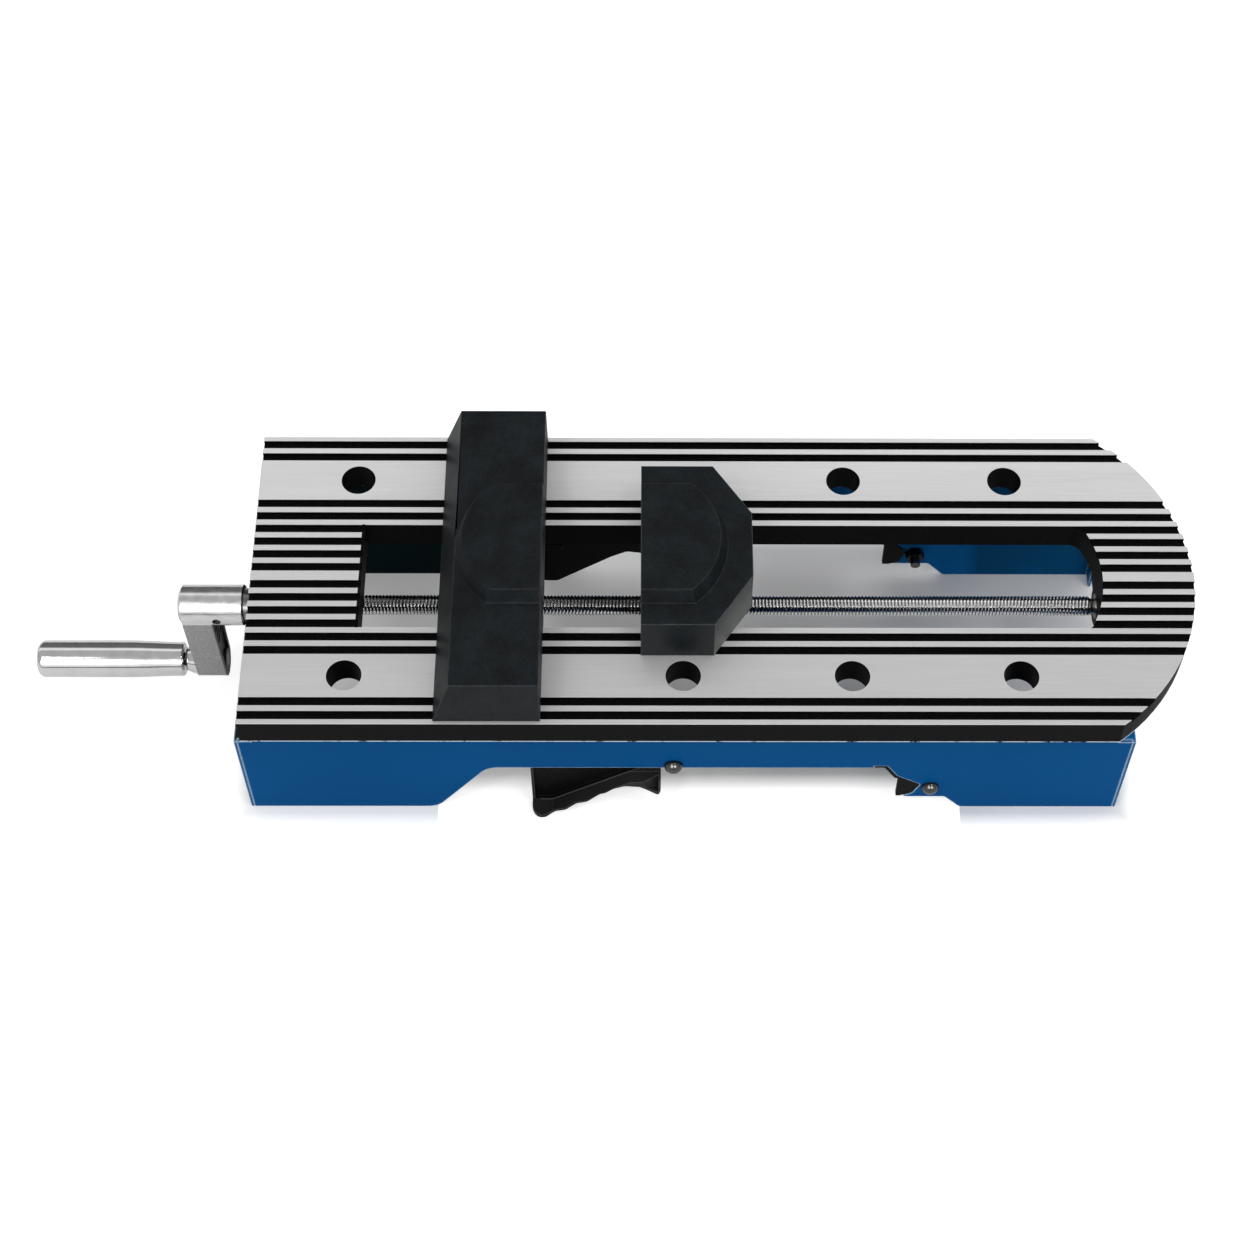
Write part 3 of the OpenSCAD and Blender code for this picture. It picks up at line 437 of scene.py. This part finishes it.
# %% Crank finish
ARM_INSET, ARM_THICK = 0.0022, 0.0175
CRANK_THROW = 0.061
ARM_BELOW = 0.0025
POCKET_DEPTH, POCKET_HALF, POCKET_WIDENS = 0.0023, 0.0078, 0.002
FACE_BEFORE, FACE_PAST = 0.0005, 0.0003
RIB_HIGHLIGHT_RADIUS = 0.0007


def crank_finish():
    n = Nodes(bpy.data.materials.new("buffed_crank"))
    place = n.place()
    x, y, z = n.parts(place)
    face_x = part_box("crank")[0].x + ARM_INSET + ARM_THICK
    grip_z = (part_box("hand_grip")[0].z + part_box("hand_grip")[1].z) / 2
    hub_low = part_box("lead_screw")[0].z + ARM_BELOW
    pocket_half = (z - grip_z) * (POCKET_WIDENS / CRANK_THROW) + POCKET_HALF
    # The side that faces the bed is painted near black as shade, with a painted highlight on its
    # ribs
    pocket = (x > face_x - POCKET_DEPTH) * (y.size() < pocket_half)
    arm = (z < hub_low) * (x < face_x + FACE_PAST)
    painted_shade = arm * pocket.most(x > face_x - FACE_BEFORE)
    buff = n.noise(n.stretched(place, (40, 40, 300)), 3, 5, 0.6)
    pits = n.noise(place, 700, 3, 0.6)
    turned = n.mix(buff.between(0.3, 0.7), grey(0.5), grey(0.66))
    blasted = n.mix(pits.between(0.3, 0.7), grey(0.24), grey(0.36))
    skin_with_painted_shading = n.mix(pits.between(0.3, 0.7), grey(0.01), grey(0.03))
    rib_highlight = n.painted_edge_highlight(RIB_HIGHLIGHT_RADIUS)
    n.set(Base_Color=n.mix(painted_shade, n.mix(arm, turned, blasted), n.mix(rib_highlight, skin_with_painted_shading, grey(0.2))))
    n.set(Metallic=1 - painted_shade * 0.6)
    n.set(Roughness=arm * 0.22 + painted_shade * 0.1 + buff * 0.15 + 0.14)
    n.bump(pits * arm + buff * 0.3, 0.25, CAST_GRAIN)
    return n.owner


CRANK_FINISH = crank_finish()
print("finish:", CRANK_FINISH.name)

# %% [markdown]
# The lever and the notch pads are moulded in black glass-filled plastic: matt, with the
# fine spark texture of the mould. The finger flanges stand out past the side walls. Their
# outer band carries painted light, the rest painted shade, and the edges a painted highlight.

# %% Moulded plastic
FLANGE_SKIN = 0.003
MOULDED_HIGHLIGHT_RADIUS = 0.0008


def moulded_finish():
    n = Nodes(bpy.data.materials.new("moulded_black"))
    place = n.place()
    spark = n.noise(place, 900, 3, 0.7)
    cloud = n.noise(place, 30, 3)
    # A painted highlight along the edges
    edge = n.painted_edge_highlight(MOULDED_HIGHLIGHT_RADIUS)
    outer_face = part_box("side_wall_rear")[1].y - FLANGE_SKIN
    x, y, _ = n.parts(place)
    # The flanges' outer band carries painted light and the rest painted shade
    lit_band = (y.size() > outer_face) * (x < MIDDLE_HOLE)
    painted_shade_black = n.mix(cloud.between(0.35, 0.65), grey(0.002), grey(0.004))
    black_with_painted_light = n.mix(cloud.between(0.35, 0.65), grey(0.014), grey(0.024))
    black = n.mix(lit_band, painted_shade_black, black_with_painted_light)
    n.set(Base_Color=n.mix(edge * 0.7, black, n.mix(lit_band, grey(0.03), grey(0.16))))
    n.set(Roughness=spark * 0.2 + 0.42, Specular_IOR_Level=0.05)
    n.bump(spark, 0.3, CAST_GRAIN)
    return n.owner


MOULDED_FINISH = moulded_finish()
print("finish:", MOULDED_FINISH.name)

# %% [markdown]
# Cast, ground and moulded edges are never perfectly sharp, and it's the thin rounding that
# catches the light. A copy of the solid's mesh has its doubles merged and its flat areas
# joined, and then a narrow bevel goes round every real edge.

# %% Softened copies
WELD = 2e-6
FLAT_DEGREES = 0.3
SHARP_DEGREES = 32
BEVEL_SEGMENTS = 2
EVEN_WEIGHT = 100


def copy_of(node, name):
    mesh = frame["nodes"][node].data.copy()
    mesh.name = name
    obj = bpy.data.objects.new(name, mesh)
    bpy.context.scene.collection.objects.link(obj)
    return obj


def merged(obj):
    bm = bmesh.new()
    bm.from_mesh(obj.data)
    bmesh.ops.remove_doubles(bm, verts=bm.verts, dist=WELD)
    bmesh.ops.dissolve_limit(
        bm, angle_limit=math.radians(FLAT_DEGREES), verts=bm.verts, edges=bm.edges)
    bm.to_mesh(obj.data)
    bm.free()


def baked(obj):
    graph = bpy.context.evaluated_depsgraph_get()
    mesh = bpy.data.meshes.new_from_object(obj.evaluated_get(graph))
    obj.modifiers.clear()
    obj.data = mesh
    return obj


def smooth_by_angle(obj, degrees):
    obj.data.polygons.foreach_set("use_smooth", [True] * len(obj.data.polygons))
    bm = bmesh.new()
    bm.from_mesh(obj.data)
    for edge in bm.edges:
        sharp = len(edge.link_faces) != 2 or edge.calc_face_angle(0) > math.radians(degrees)
        edge.smooth = not sharp
    bm.to_mesh(obj.data)
    bm.free()


def finished(obj, material, body, slot, *nodes):
    obj.data.materials.clear()
    obj.data.materials.append(material)
    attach(obj, body)
    if nodes:
        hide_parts(*nodes)


def softened(node, name, material, body, slot, width):
    obj = copy_of(node, name)
    merged(obj)
    bevel = obj.modifiers.new("edges", "BEVEL")
    bevel.width = width
    bevel.segments = BEVEL_SEGMENTS
    bevel.limit_method = "ANGLE"
    bevel.angle_limit = math.radians(SHARP_DEGREES)
    bevel.use_clamp_overlap = True
    bevel.harden_normals = False
    baked(obj)
    smooth_by_angle(obj, SHARP_DEGREES)
    even = obj.modifiers.new("even", "WEIGHTED_NORMAL")
    even.keep_sharp = True
    even.weight = EVEN_WEIGHT
    baked(obj)
    finished(obj, material, body, slot, node)
    print(name, len(obj.data.polygons), "faces")


# %% [markdown]
# Each softened copy replaces its solid and rides the same body. Only the width of the
# rounding differs: least on ground edges, most on the jaws and the crank.

# %% Castings and sheet
CAST_EDGE, SHEET_EDGE, MOULDED_EDGE, JAW_EDGE = 0.0003, 0.0004, 0.0005, 0.0006
softened("bed", "bed_casting", BED_FINISH, "frame", "bed_casting", CAST_EDGE)
for side in ("front", "rear"):
    softened("side_wall_" + side, "wall_" + side, BLUE_FINISH,
             "frame", "blue_paint", SHEET_EDGE)
    softened("notch_block_" + side, "block_" + side, MOULDED_FINISH,
             "frame", "black_moulding", MOULDED_EDGE)
for side in ("left", "right"):
    softened("end_plate_" + side, "plate_" + side, BLUE_FINISH,
             "frame", "blue_paint", SHEET_EDGE)
softened("fixed_jaw", "jaw_left", JAW_FINISH, "fixed_jaw", "jaw_black", JAW_EDGE)
softened("moving_jaw", "jaw_right", JAW_FINISH, "moving_jaw", "jaw_black", JAW_EDGE)
softened("crank", "crank_arm", CRANK_FINISH, "screw_drive", "cast_steel", JAW_EDGE)
softened("release_lever", "squeeze_lever", MOULDED_FINISH,
         "release_lever", "black_moulding", MOULDED_EDGE)

# %% [markdown]
# The two springs stand between the bed and a pad on each lever arm, and give way as the
# lever is squeezed. Each is a plain copy that rides on the frame.

# %% Lever springs
COIL_DEGREES = 70
for side in ("front", "rear"):
    spring = copy_of("lever_spring_" + side, "squeeze_spring_" + side)
    merged(spring)
    smooth_by_angle(spring, COIL_DEGREES)
    finished(spring, BRIGHT_FINISH, "frame", "bright_steel", "lever_spring_" + side)
    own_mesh(spring)

# %% [markdown]
# The thread. A screw thread is one profile that climbs by its pitch each turn, so it needs
# no modelling by hand: a flat grid is bent into it. Along the grid's length the points go
# round the screw, and across its width they follow the groove from root to crest and back.
# Geometry Nodes does the bending, with pitch, radius and depth as inputs. `Tree` builds such
# a node tree with named inputs, and ends it in Realize Instances and Set Material.

# %% Node tree helper
class Tree:
    def __init__(self, name, sockets):
        self.tree = bpy.data.node_groups.new(name, "GeometryNodeTree")
        self.ids = {}
        for label, kind, default in sockets:
            socket = self.tree.interface.new_socket(label, in_out="INPUT", socket_type=kind)
            if default is not None:
                socket.default_value = default
            self.ids[label] = socket.identifier
        self.tree.interface.new_socket(
            "Geometry", in_out="OUTPUT", socket_type="NodeSocketGeometry")
        self.given = self.tree.nodes.new("NodeGroupInput")
        self.result = self.tree.nodes.new("NodeGroupOutput")

    def node(self, kind, settings=None, inputs=()):
        node = self.tree.nodes.new(kind)
        for key, value in (settings or {}).items():
            setattr(node, key, value)
        pairs = inputs.items() if isinstance(inputs, dict) else enumerate(inputs)
        for key, value in pairs:
            if isinstance(value, bpy.types.NodeSocket):
                self.tree.links.new(value, node.inputs[key])
            else:
                node.inputs[key].default_value = value
        return node

    def maths(self, operation, *values):
        return self.node("ShaderNodeMath", {"operation": operation}, values).outputs[0]

    def end(self, geometry, material):
        real = self.node("GeometryNodeRealizeInstances", {}, [geometry]).outputs[0]
        painted = self.node("GeometryNodeSetMaterial", {}, {
            "Geometry": real, "Material": material})
        self.tree.links.new(painted.outputs[0], self.result.inputs[0])


print("node tree helper:", Tree.__name__)

# %% [markdown]
# The thread's own nodes. Each grid point's number gives its turn round the screw and its
# share of the way across the groove, and the first and last turns fade into the core.

# %% Thread nodes
PITCH = 0.002
THREAD_STEPS = 28
POINTS_ACROSS = 5
FLANK_STEEPNESS = 1.5


def thread_tree():
    t = Tree("thread", [
        ("Pitch", "NodeSocketFloat", PITCH), ("Outer radius", "NodeSocketFloat", 0.006),
        ("Depth", "NodeSocketFloat", THREAD_DEPTH), ("Turns", "NodeSocketInt", 100),
        ("Steps", "NodeSocketInt", THREAD_STEPS), ("Start", "NodeSocketFloat", 0.0),
        ("Height", "NodeSocketFloat", 0.0), ("Material", "NodeSocketMaterial", None)])
    g = t.given.outputs
    across = POINTS_ACROSS
    along = t.maths("ADD", t.maths("MULTIPLY", g["Turns"], g["Steps"]), 1.0)
    grid = t.node("GeometryNodeMeshGrid", {}, {
        "Size X": 1.0, "Size Y": 1.0, "Vertices X": along, "Vertices Y": across})
    index = t.node("GeometryNodeInputIndex").outputs[0]
    step = t.maths("FLOOR", t.maths("DIVIDE", index, float(across)))
    place = t.maths("SUBTRACT", index, t.maths("MULTIPLY", step, float(across)))
    turn = t.maths("DIVIDE", step, g["Steps"])
    share = t.maths("DIVIDE", place, float(across - 1))
    rise = t.maths("ABSOLUTE", t.maths("SUBTRACT", t.maths("MULTIPLY", share, 2.0), 1.0))
    flank = t.maths("MULTIPLY", t.maths("SUBTRACT", 1.0, rise), FLANK_STEEPNESS)
    groove = t.maths("MINIMUM", flank, 1.0)
    lead_in = t.maths("MINIMUM", turn, t.maths("SUBTRACT", g["Turns"], turn))
    fade = t.maths("MINIMUM", lead_in, 1.0)
    root = t.maths("SUBTRACT", g["Outer radius"], g["Depth"])
    raised = t.maths("MULTIPLY", t.maths("MULTIPLY", g["Depth"], groove), fade)
    radius = t.maths("ADD", root, raised)
    angle = t.maths("MULTIPLY", turn, 2 * math.pi)
    x = t.maths("ADD", g["Start"], t.maths("MULTIPLY", g["Pitch"], t.maths("ADD", turn, share)))
    y = t.maths("MULTIPLY", radius, t.maths("SINE", angle))
    z = t.maths("ADD", g["Height"], t.maths("MULTIPLY", radius, t.maths("COSINE", angle)))
    point = t.node("ShaderNodeCombineXYZ", {}, [x, y, z]).outputs[0]
    bent = t.node("GeometryNodeSetPosition", {}, {"Geometry": grid.outputs[0], "Position": point})
    joined = t.node("GeometryNodeMergeByDistance", {}, {
        "Geometry": bent.outputs[0], "Distance": WELD})
    t.end(joined.outputs[0], g["Material"])
    return t


THREAD = thread_tree()
print("thread inputs:", ", ".join(THREAD.ids))

# %% [markdown]
# Two ways to a plain mesh. A node tree is evaluated once on an empty mesh and its result
# kept. A lathe turns a profile of (x, radius) points about a line that runs along X.

# %% Meshes from nodes and from a lathe
def from_tree(tree, name, values):
    mesh = bpy.data.meshes.new(name)
    obj = bpy.data.objects.new(name, mesh)
    bpy.context.scene.collection.objects.link(obj)
    modifier = obj.modifiers.new(name, "NODES")
    modifier.node_group = tree.tree
    for label, value in values.items():
        modifier[tree.ids[label]] = value
    return baked(obj)


def closed(obj):
    bm = bmesh.new()
    bm.from_mesh(obj.data)
    bmesh.ops.holes_fill(bm, edges=bm.edges, sides=0)
    bmesh.ops.recalc_face_normals(bm, faces=bm.faces)
    bm.to_mesh(obj.data)
    bm.free()


def lathe(name, profile, height, facets):
    """Turns (x, radius) points about a line along X at a height, closed at both ends."""
    bm = bmesh.new()
    rings = []
    for x, r in profile:
        if r == 0:
            rings.append([bm.verts.new((x, 0, height))])
        else:
            rings.append([bm.verts.new((x, r * math.sin(a), height + r * math.cos(a)))
                          for a in (2 * math.pi * i / facets for i in range(facets))])
    for first, second in zip(rings, rings[1:]):
        for i in range(facets):
            a, b = first[i % len(first)], first[(i + 1) % len(first)]
            c, d = second[(i + 1) % len(second)], second[i % len(second)]
            corners = [v for k, v in enumerate((a, b, c, d)) if v not in (a, b, c, d)[:k]]
            if len(corners) > 2:
                bm.faces.new(corners)
    bmesh.ops.recalc_face_normals(bm, faces=bm.faces)
    mesh = bpy.data.meshes.new(name)
    bm.to_mesh(mesh)
    bm.free()
    obj = bpy.data.objects.new(name, mesh)
    bpy.context.scene.collection.objects.link(obj)
    return obj


print("mesh helpers:", from_tree.__name__, "and", lathe.__name__)

# %% [markdown]
# The screw is wound between its two bushings. Its plain journals and the core that the
# thread stands on are one turned piece of their own.

# %% Lead screw
SCREW_LOW, SCREW_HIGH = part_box("lead_screw")
SCREW_R = (SCREW_HIGH.z - SCREW_LOW.z) / 2
SCREW_Z = (SCREW_HIGH.z + SCREW_LOW.z) / 2
BUSHING_GAP = 0.0003
THREAD_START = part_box("left_bushing")[1].x + BUSHING_GAP
THREAD_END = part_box("right_bushing")[0].x - BUSHING_GAP
THREAD_DEGREES = 40
JOURNAL_R, CHAMFER, CORE_R = 0.005, 0.0005, 0.0046
TURNED_DEGREES = 30
JOURNAL_FACETS = 64
turns = int((THREAD_END - THREAD_START) / PITCH) - 1
screw = from_tree(THREAD, "wound_screw", {
    "Pitch": PITCH, "Outer radius": SCREW_R, "Depth": THREAD_DEPTH,
    "Turns": turns, "Steps": THREAD_STEPS,
    "Start": THREAD_START, "Height": SCREW_Z, "Material": SCREW_FINISH})
closed(screw)
smooth_by_angle(screw, THREAD_DEGREES)
journals = lathe("screw_journals", [
    (SCREW_LOW.x, 0), (SCREW_LOW.x, JOURNAL_R - CHAMFER), (SCREW_LOW.x + CHAMFER, JOURNAL_R),
    (THREAD_START, JOURNAL_R), (THREAD_START, CORE_R),
    (THREAD_END, CORE_R), (THREAD_END, JOURNAL_R),
    (SCREW_HIGH.x - CHAMFER, JOURNAL_R), (SCREW_HIGH.x, JOURNAL_R - CHAMFER),
    (SCREW_HIGH.x, 0)], SCREW_Z, JOURNAL_FACETS)
smooth_by_angle(journals, TURNED_DEGREES)
finished(screw, SCREW_FINISH, "screw_drive", "bright_steel", "lead_screw")
finished(journals, BRIGHT_FINISH, "screw_drive", "bright_steel")
print("thread turns", turns, "faces", len(screw.data.polygons))

# %% [markdown]
# The grip is turned from bar and polished. A lathe profile of a few radii gives its soft
# end, its long taper and the small lip beside the ferrule.

# %% Hand grip
def arc(centre, radius, start, stop, steps):
    angles = [math.radians(start + (stop - start) * i / steps) for i in range(steps + 1)]
    return [(centre[0] + radius * math.cos(a), centre[1] + radius * math.sin(a))
            for a in angles]


GRIP_LOW, GRIP_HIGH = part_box("hand_grip")
GRIP_R = (GRIP_HIGH.z - GRIP_LOW.z) / 2
GRIP_Z = (GRIP_HIGH.z + GRIP_LOW.z) / 2
GRIP_L = GRIP_HIGH.x - GRIP_LOW.x
NECK_R = 0.0103
END_ROUND, END_STEPS = 0.0045, 10
TAPER_START, TAPER_L, TAPER_STEPS = 0.034, 0.0315, 12
LIP_ROUND, LIP_STEPS = 0.0012, 5
BORE_R, BORE_WALL = 0.00405, 0.0075
GRIP_FACETS = 96


def grip_profile():
    end = arc((GRIP_LOW.x + END_ROUND, GRIP_R - END_ROUND), END_ROUND, 180, 90, END_STEPS)
    taper = []
    for i in range(1, TAPER_STEPS + 1):
        share = i / TAPER_STEPS
        ease = share * share * (3 - 2 * share)
        taper.append((GRIP_HIGH.x - TAPER_START + share * TAPER_L,
                      GRIP_R + (NECK_R - GRIP_R) * ease))
    lip = arc((GRIP_HIGH.x - LIP_ROUND, NECK_R - LIP_ROUND), LIP_ROUND, 90, 0, LIP_STEPS)
    bore_end = GRIP_LOW.x + BORE_WALL
    bore = [(GRIP_HIGH.x, BORE_R), (bore_end, BORE_R), (bore_end, 0)]
    return [(GRIP_LOW.x, 0)] + end + taper + lip + bore


grip = lathe("turned_grip", grip_profile(), GRIP_Z, GRIP_FACETS)
smooth_by_angle(grip, TURNED_DEGREES)
finished(grip, CHROME_FINISH, "hand_grip", "chrome", "hand_grip")
print("grip", round(GRIP_L * 1000, 1), "mm long,", len(grip.data.polygons), "faces")

# %% [markdown]
# The remaining pieces are turned or drawn parts whose solids already have the right shape,
# so they only need their finish.

# %% Small parts
OWN_FINISH = {
    "axle_caps": GLOSS_BLACK,
    "notch_bolts": GLOSS_BLACK,
    # The grip spindle's end is kept dark as painted shade on the crank face that faces the bed
    "grip_spindle": BLACK_STEEL,
    "drive_collar": GREY_STEEL,
}
FINISHES = {
    "bright_steel": BRIGHT_FINISH,
    "black_steel": BLACK_STEEL,
    "bronze": BRONZE_FINISH,
    "chrome": CHROME_FINISH,
}
slots = {part["node"]: part["material_slot"] for part in frame["record"]["subparts"]}
for node, obj in frame["nodes"].items():
    if slots[node] in FINISHES:
        finish = OWN_FINISH.get(node, FINISHES[slots[node]])
        obj.data.materials.clear()
        obj.data.materials.append(finish)
print("parts with a carried-over shape:", sum(1 for s in slots.values() if s in FINISHES))

# %% [markdown]
# The studio is a light table under a soft sky. The table glows for the camera around the
# vise but hardly under it: the glow stops at the vise's footprint, so a painted shadow lies
# under the vise and ends in a narrow painted shadow at its feet. Through the slot the table
# shows painted grey, with painted light towards the slot's two ends.

# %% Light table
FLOOR_HALF = 4.0
TABLE_GREY, TABLE_ROUGH = 0.8, 0.95
SEEN_GLOW, MIRROR_GLOW = 0.6, 0.2
GLOW_FROM, GLOW_TO = 0.004, 0.015
UNDER_LEFT, UNDER_RIGHT = 0.23, 0.09
ARCH_LEFT, ARCH_RIGHT, ARCH_DEPTH = 0.145, 0.167, 0.026
FAR_FROM, FAR_TO = 0.1, 0.145
LEFT_FROM, LEFT_TO = -0.08, 0.06
RIGHT_FROM, RIGHT_TO = 0.14, 0.2


def floor():
    h = FLOOR_HALF
    mesh = bpy.data.meshes.new("floor")
    mesh.from_pydata([(-h, -h, 0), (h, -h, 0), (h, h, 0), (-h, h, 0)], [], [(0, 1, 2, 3)])
    obj = bpy.data.objects.new("floor", mesh)
    bpy.context.scene.collection.objects.link(obj)
    n = Nodes(bpy.data.materials.new("studio_table"))
    x, y, _ = n.parts(n.place())
    low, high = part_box("side_wall_front")[0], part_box("side_wall_rear")[1]
    past_end = (x - (low.x + high.x) / 2).size() - (high.x - low.x) / 2
    arch = (x > MIDDLE_HOLE - ARCH_LEFT) * (x < MIDDLE_HOLE + ARCH_RIGHT)
    past_near = arch * ARCH_DEPTH - y - high.y
    # The glow stops short of the vise's footprint: a painted shadow under the vise and at its feet
    around = past_end.most(past_near).between(GLOW_FROM, GLOW_TO).most(y.between(FAR_FROM, FAR_TO))
    # Painted light under the slot, towards its two ends
    left = x.between(MIDDLE_HOLE + LEFT_FROM, MIDDLE_HOLE + LEFT_TO, UNDER_LEFT, 0.0)
    right = x.between(MIDDLE_HOLE + RIGHT_FROM, MIDDLE_HOLE + RIGHT_TO, 0.0, UNDER_RIGHT)
    painted_light_under_slot = left + right
    glow = around * (SEEN_GLOW - painted_light_under_slot) + painted_light_under_slot
    seen = n.add("ShaderNodeLightPath", {}, out="Is Camera Ray") * glow
    mirrored = n.add("ShaderNodeLightPath", {}, out="Is Glossy Ray") * MIRROR_GLOW
    n.set(Base_Color=grey(TABLE_GREY), Roughness=TABLE_ROUGH, Specular_IOR_Level=0.0)
    n.set(Emission_Color=n.mix(seen + mirrored, grey(0), grey(1)), Emission_Strength=1.0)
    mesh.materials.append(n.owner)


floor()
print("light table", 2 * FLOOR_HALF, "m wide")

# %% [markdown]
# The sky is dim near the horizon and stays dim higher up behind the vise. What polished
# metal mirrors is a studio of its own: a long soft box in front, a narrow one behind, two
# small lamps and a dark room, so round metal shows a dark upper edge and light bands.

# %% Sky
SKY_TOP, SKY_EDGE = 0.95, 0.1
BEHIND_FROM, BEHIND_TO = -0.1, 0.4
# The heights at which the sky starts to brighten and is bright, and their rise behind
START, START_RISE = 0.1, 0.16
BRIGHT, BRIGHT_RISE = 0.24, 0.42
BOX_POWER, ROOM, LAMP_POWER = 1.6, 0.08, 8.0
BOX_LOW, BOX_HIGH = 0.05, 0.14
# The mirrored soft boxes, from the near side (0) to the far side (1)
BOXES = [(0.0, grey(0.2)), (0.025, grey(0.8)), (0.19, grey(0.8)), (0.25, grey(0.34)),
         (0.665, grey(0.34)), (0.7, grey(0.75)), (0.78, grey(0.75)), (0.83, grey(0.08)),
         (1.0, grey(0.06))]
LAMPS = [(-0.35, -0.75, 0.6), (0.3, -0.75, 0.6)]
LAMP_DEGREES = 14
LAMP_EDGE = math.cos(math.radians(LAMP_DEGREES))


def sky():
    world = bpy.data.worlds.new("studio")
    n = Nodes(world, "Background")
    x, y, height = n.parts(n.add("ShaderNodeTexCoord", {}, out="Generated"))
    behind = y.between(BEHIND_FROM, BEHIND_TO)
    bright_from = behind * START_RISE + START
    bright_to = behind * BRIGHT_RISE + BRIGHT
    plain = n.mix(height.between(bright_from, bright_to), grey(SKY_EDGE), grey(SKY_TOP))
    boxes = n.add("ShaderNodeValToRGB", {"stops": BOXES}, {"Fac": y * 0.5 + 0.5})
    studio = boxes * height.between(BOX_LOW, BOX_HIGH) * BOX_POWER + ROOM
    for way in LAMPS:
        aim = Vector(way).normalized()
        studio = studio + (x * aim.x + y * aim.y + height * aim.z > LAMP_EDGE) * LAMP_POWER
    glossy = n.add("ShaderNodeLightPath", {}, out="Is Glossy Ray")
    n.set(Color=n.mix(glossy, plain, studio), Strength=1.0)
    bpy.context.scene.world = world


sky()
print("sky with", len(LAMPS), "mirrored lamps")

# %% [markdown]
# Two weak suns from the near side give the light a direction without hard shadows.

# %% Suns
SUN_DEGREES = 7
KEY_WAY, KEY_STRENGTH = (0.4, 0.5, -1), 0.3
FILL_WAY, FILL_STRENGTH = (-0.35, 0.3, -1), 0.25


def sun(name, direction, strength):
    data = bpy.data.lights.new(name, "SUN")
    data.energy = strength
    data.angle = math.radians(SUN_DEGREES)
    obj = bpy.data.objects.new(name, data)
    obj.rotation_euler = Vector(direction).to_track_quat("-Z", "Y").to_euler()
    bpy.context.scene.collection.objects.link(obj)


sun("key", KEY_WAY, KEY_STRENGTH)
sun("fill", FILL_WAY, FILL_STRENGTH)
bpy.context.scene.view_settings.view_transform = "Standard"
print("suns:", KEY_STRENGTH, "and", FILL_STRENGTH)
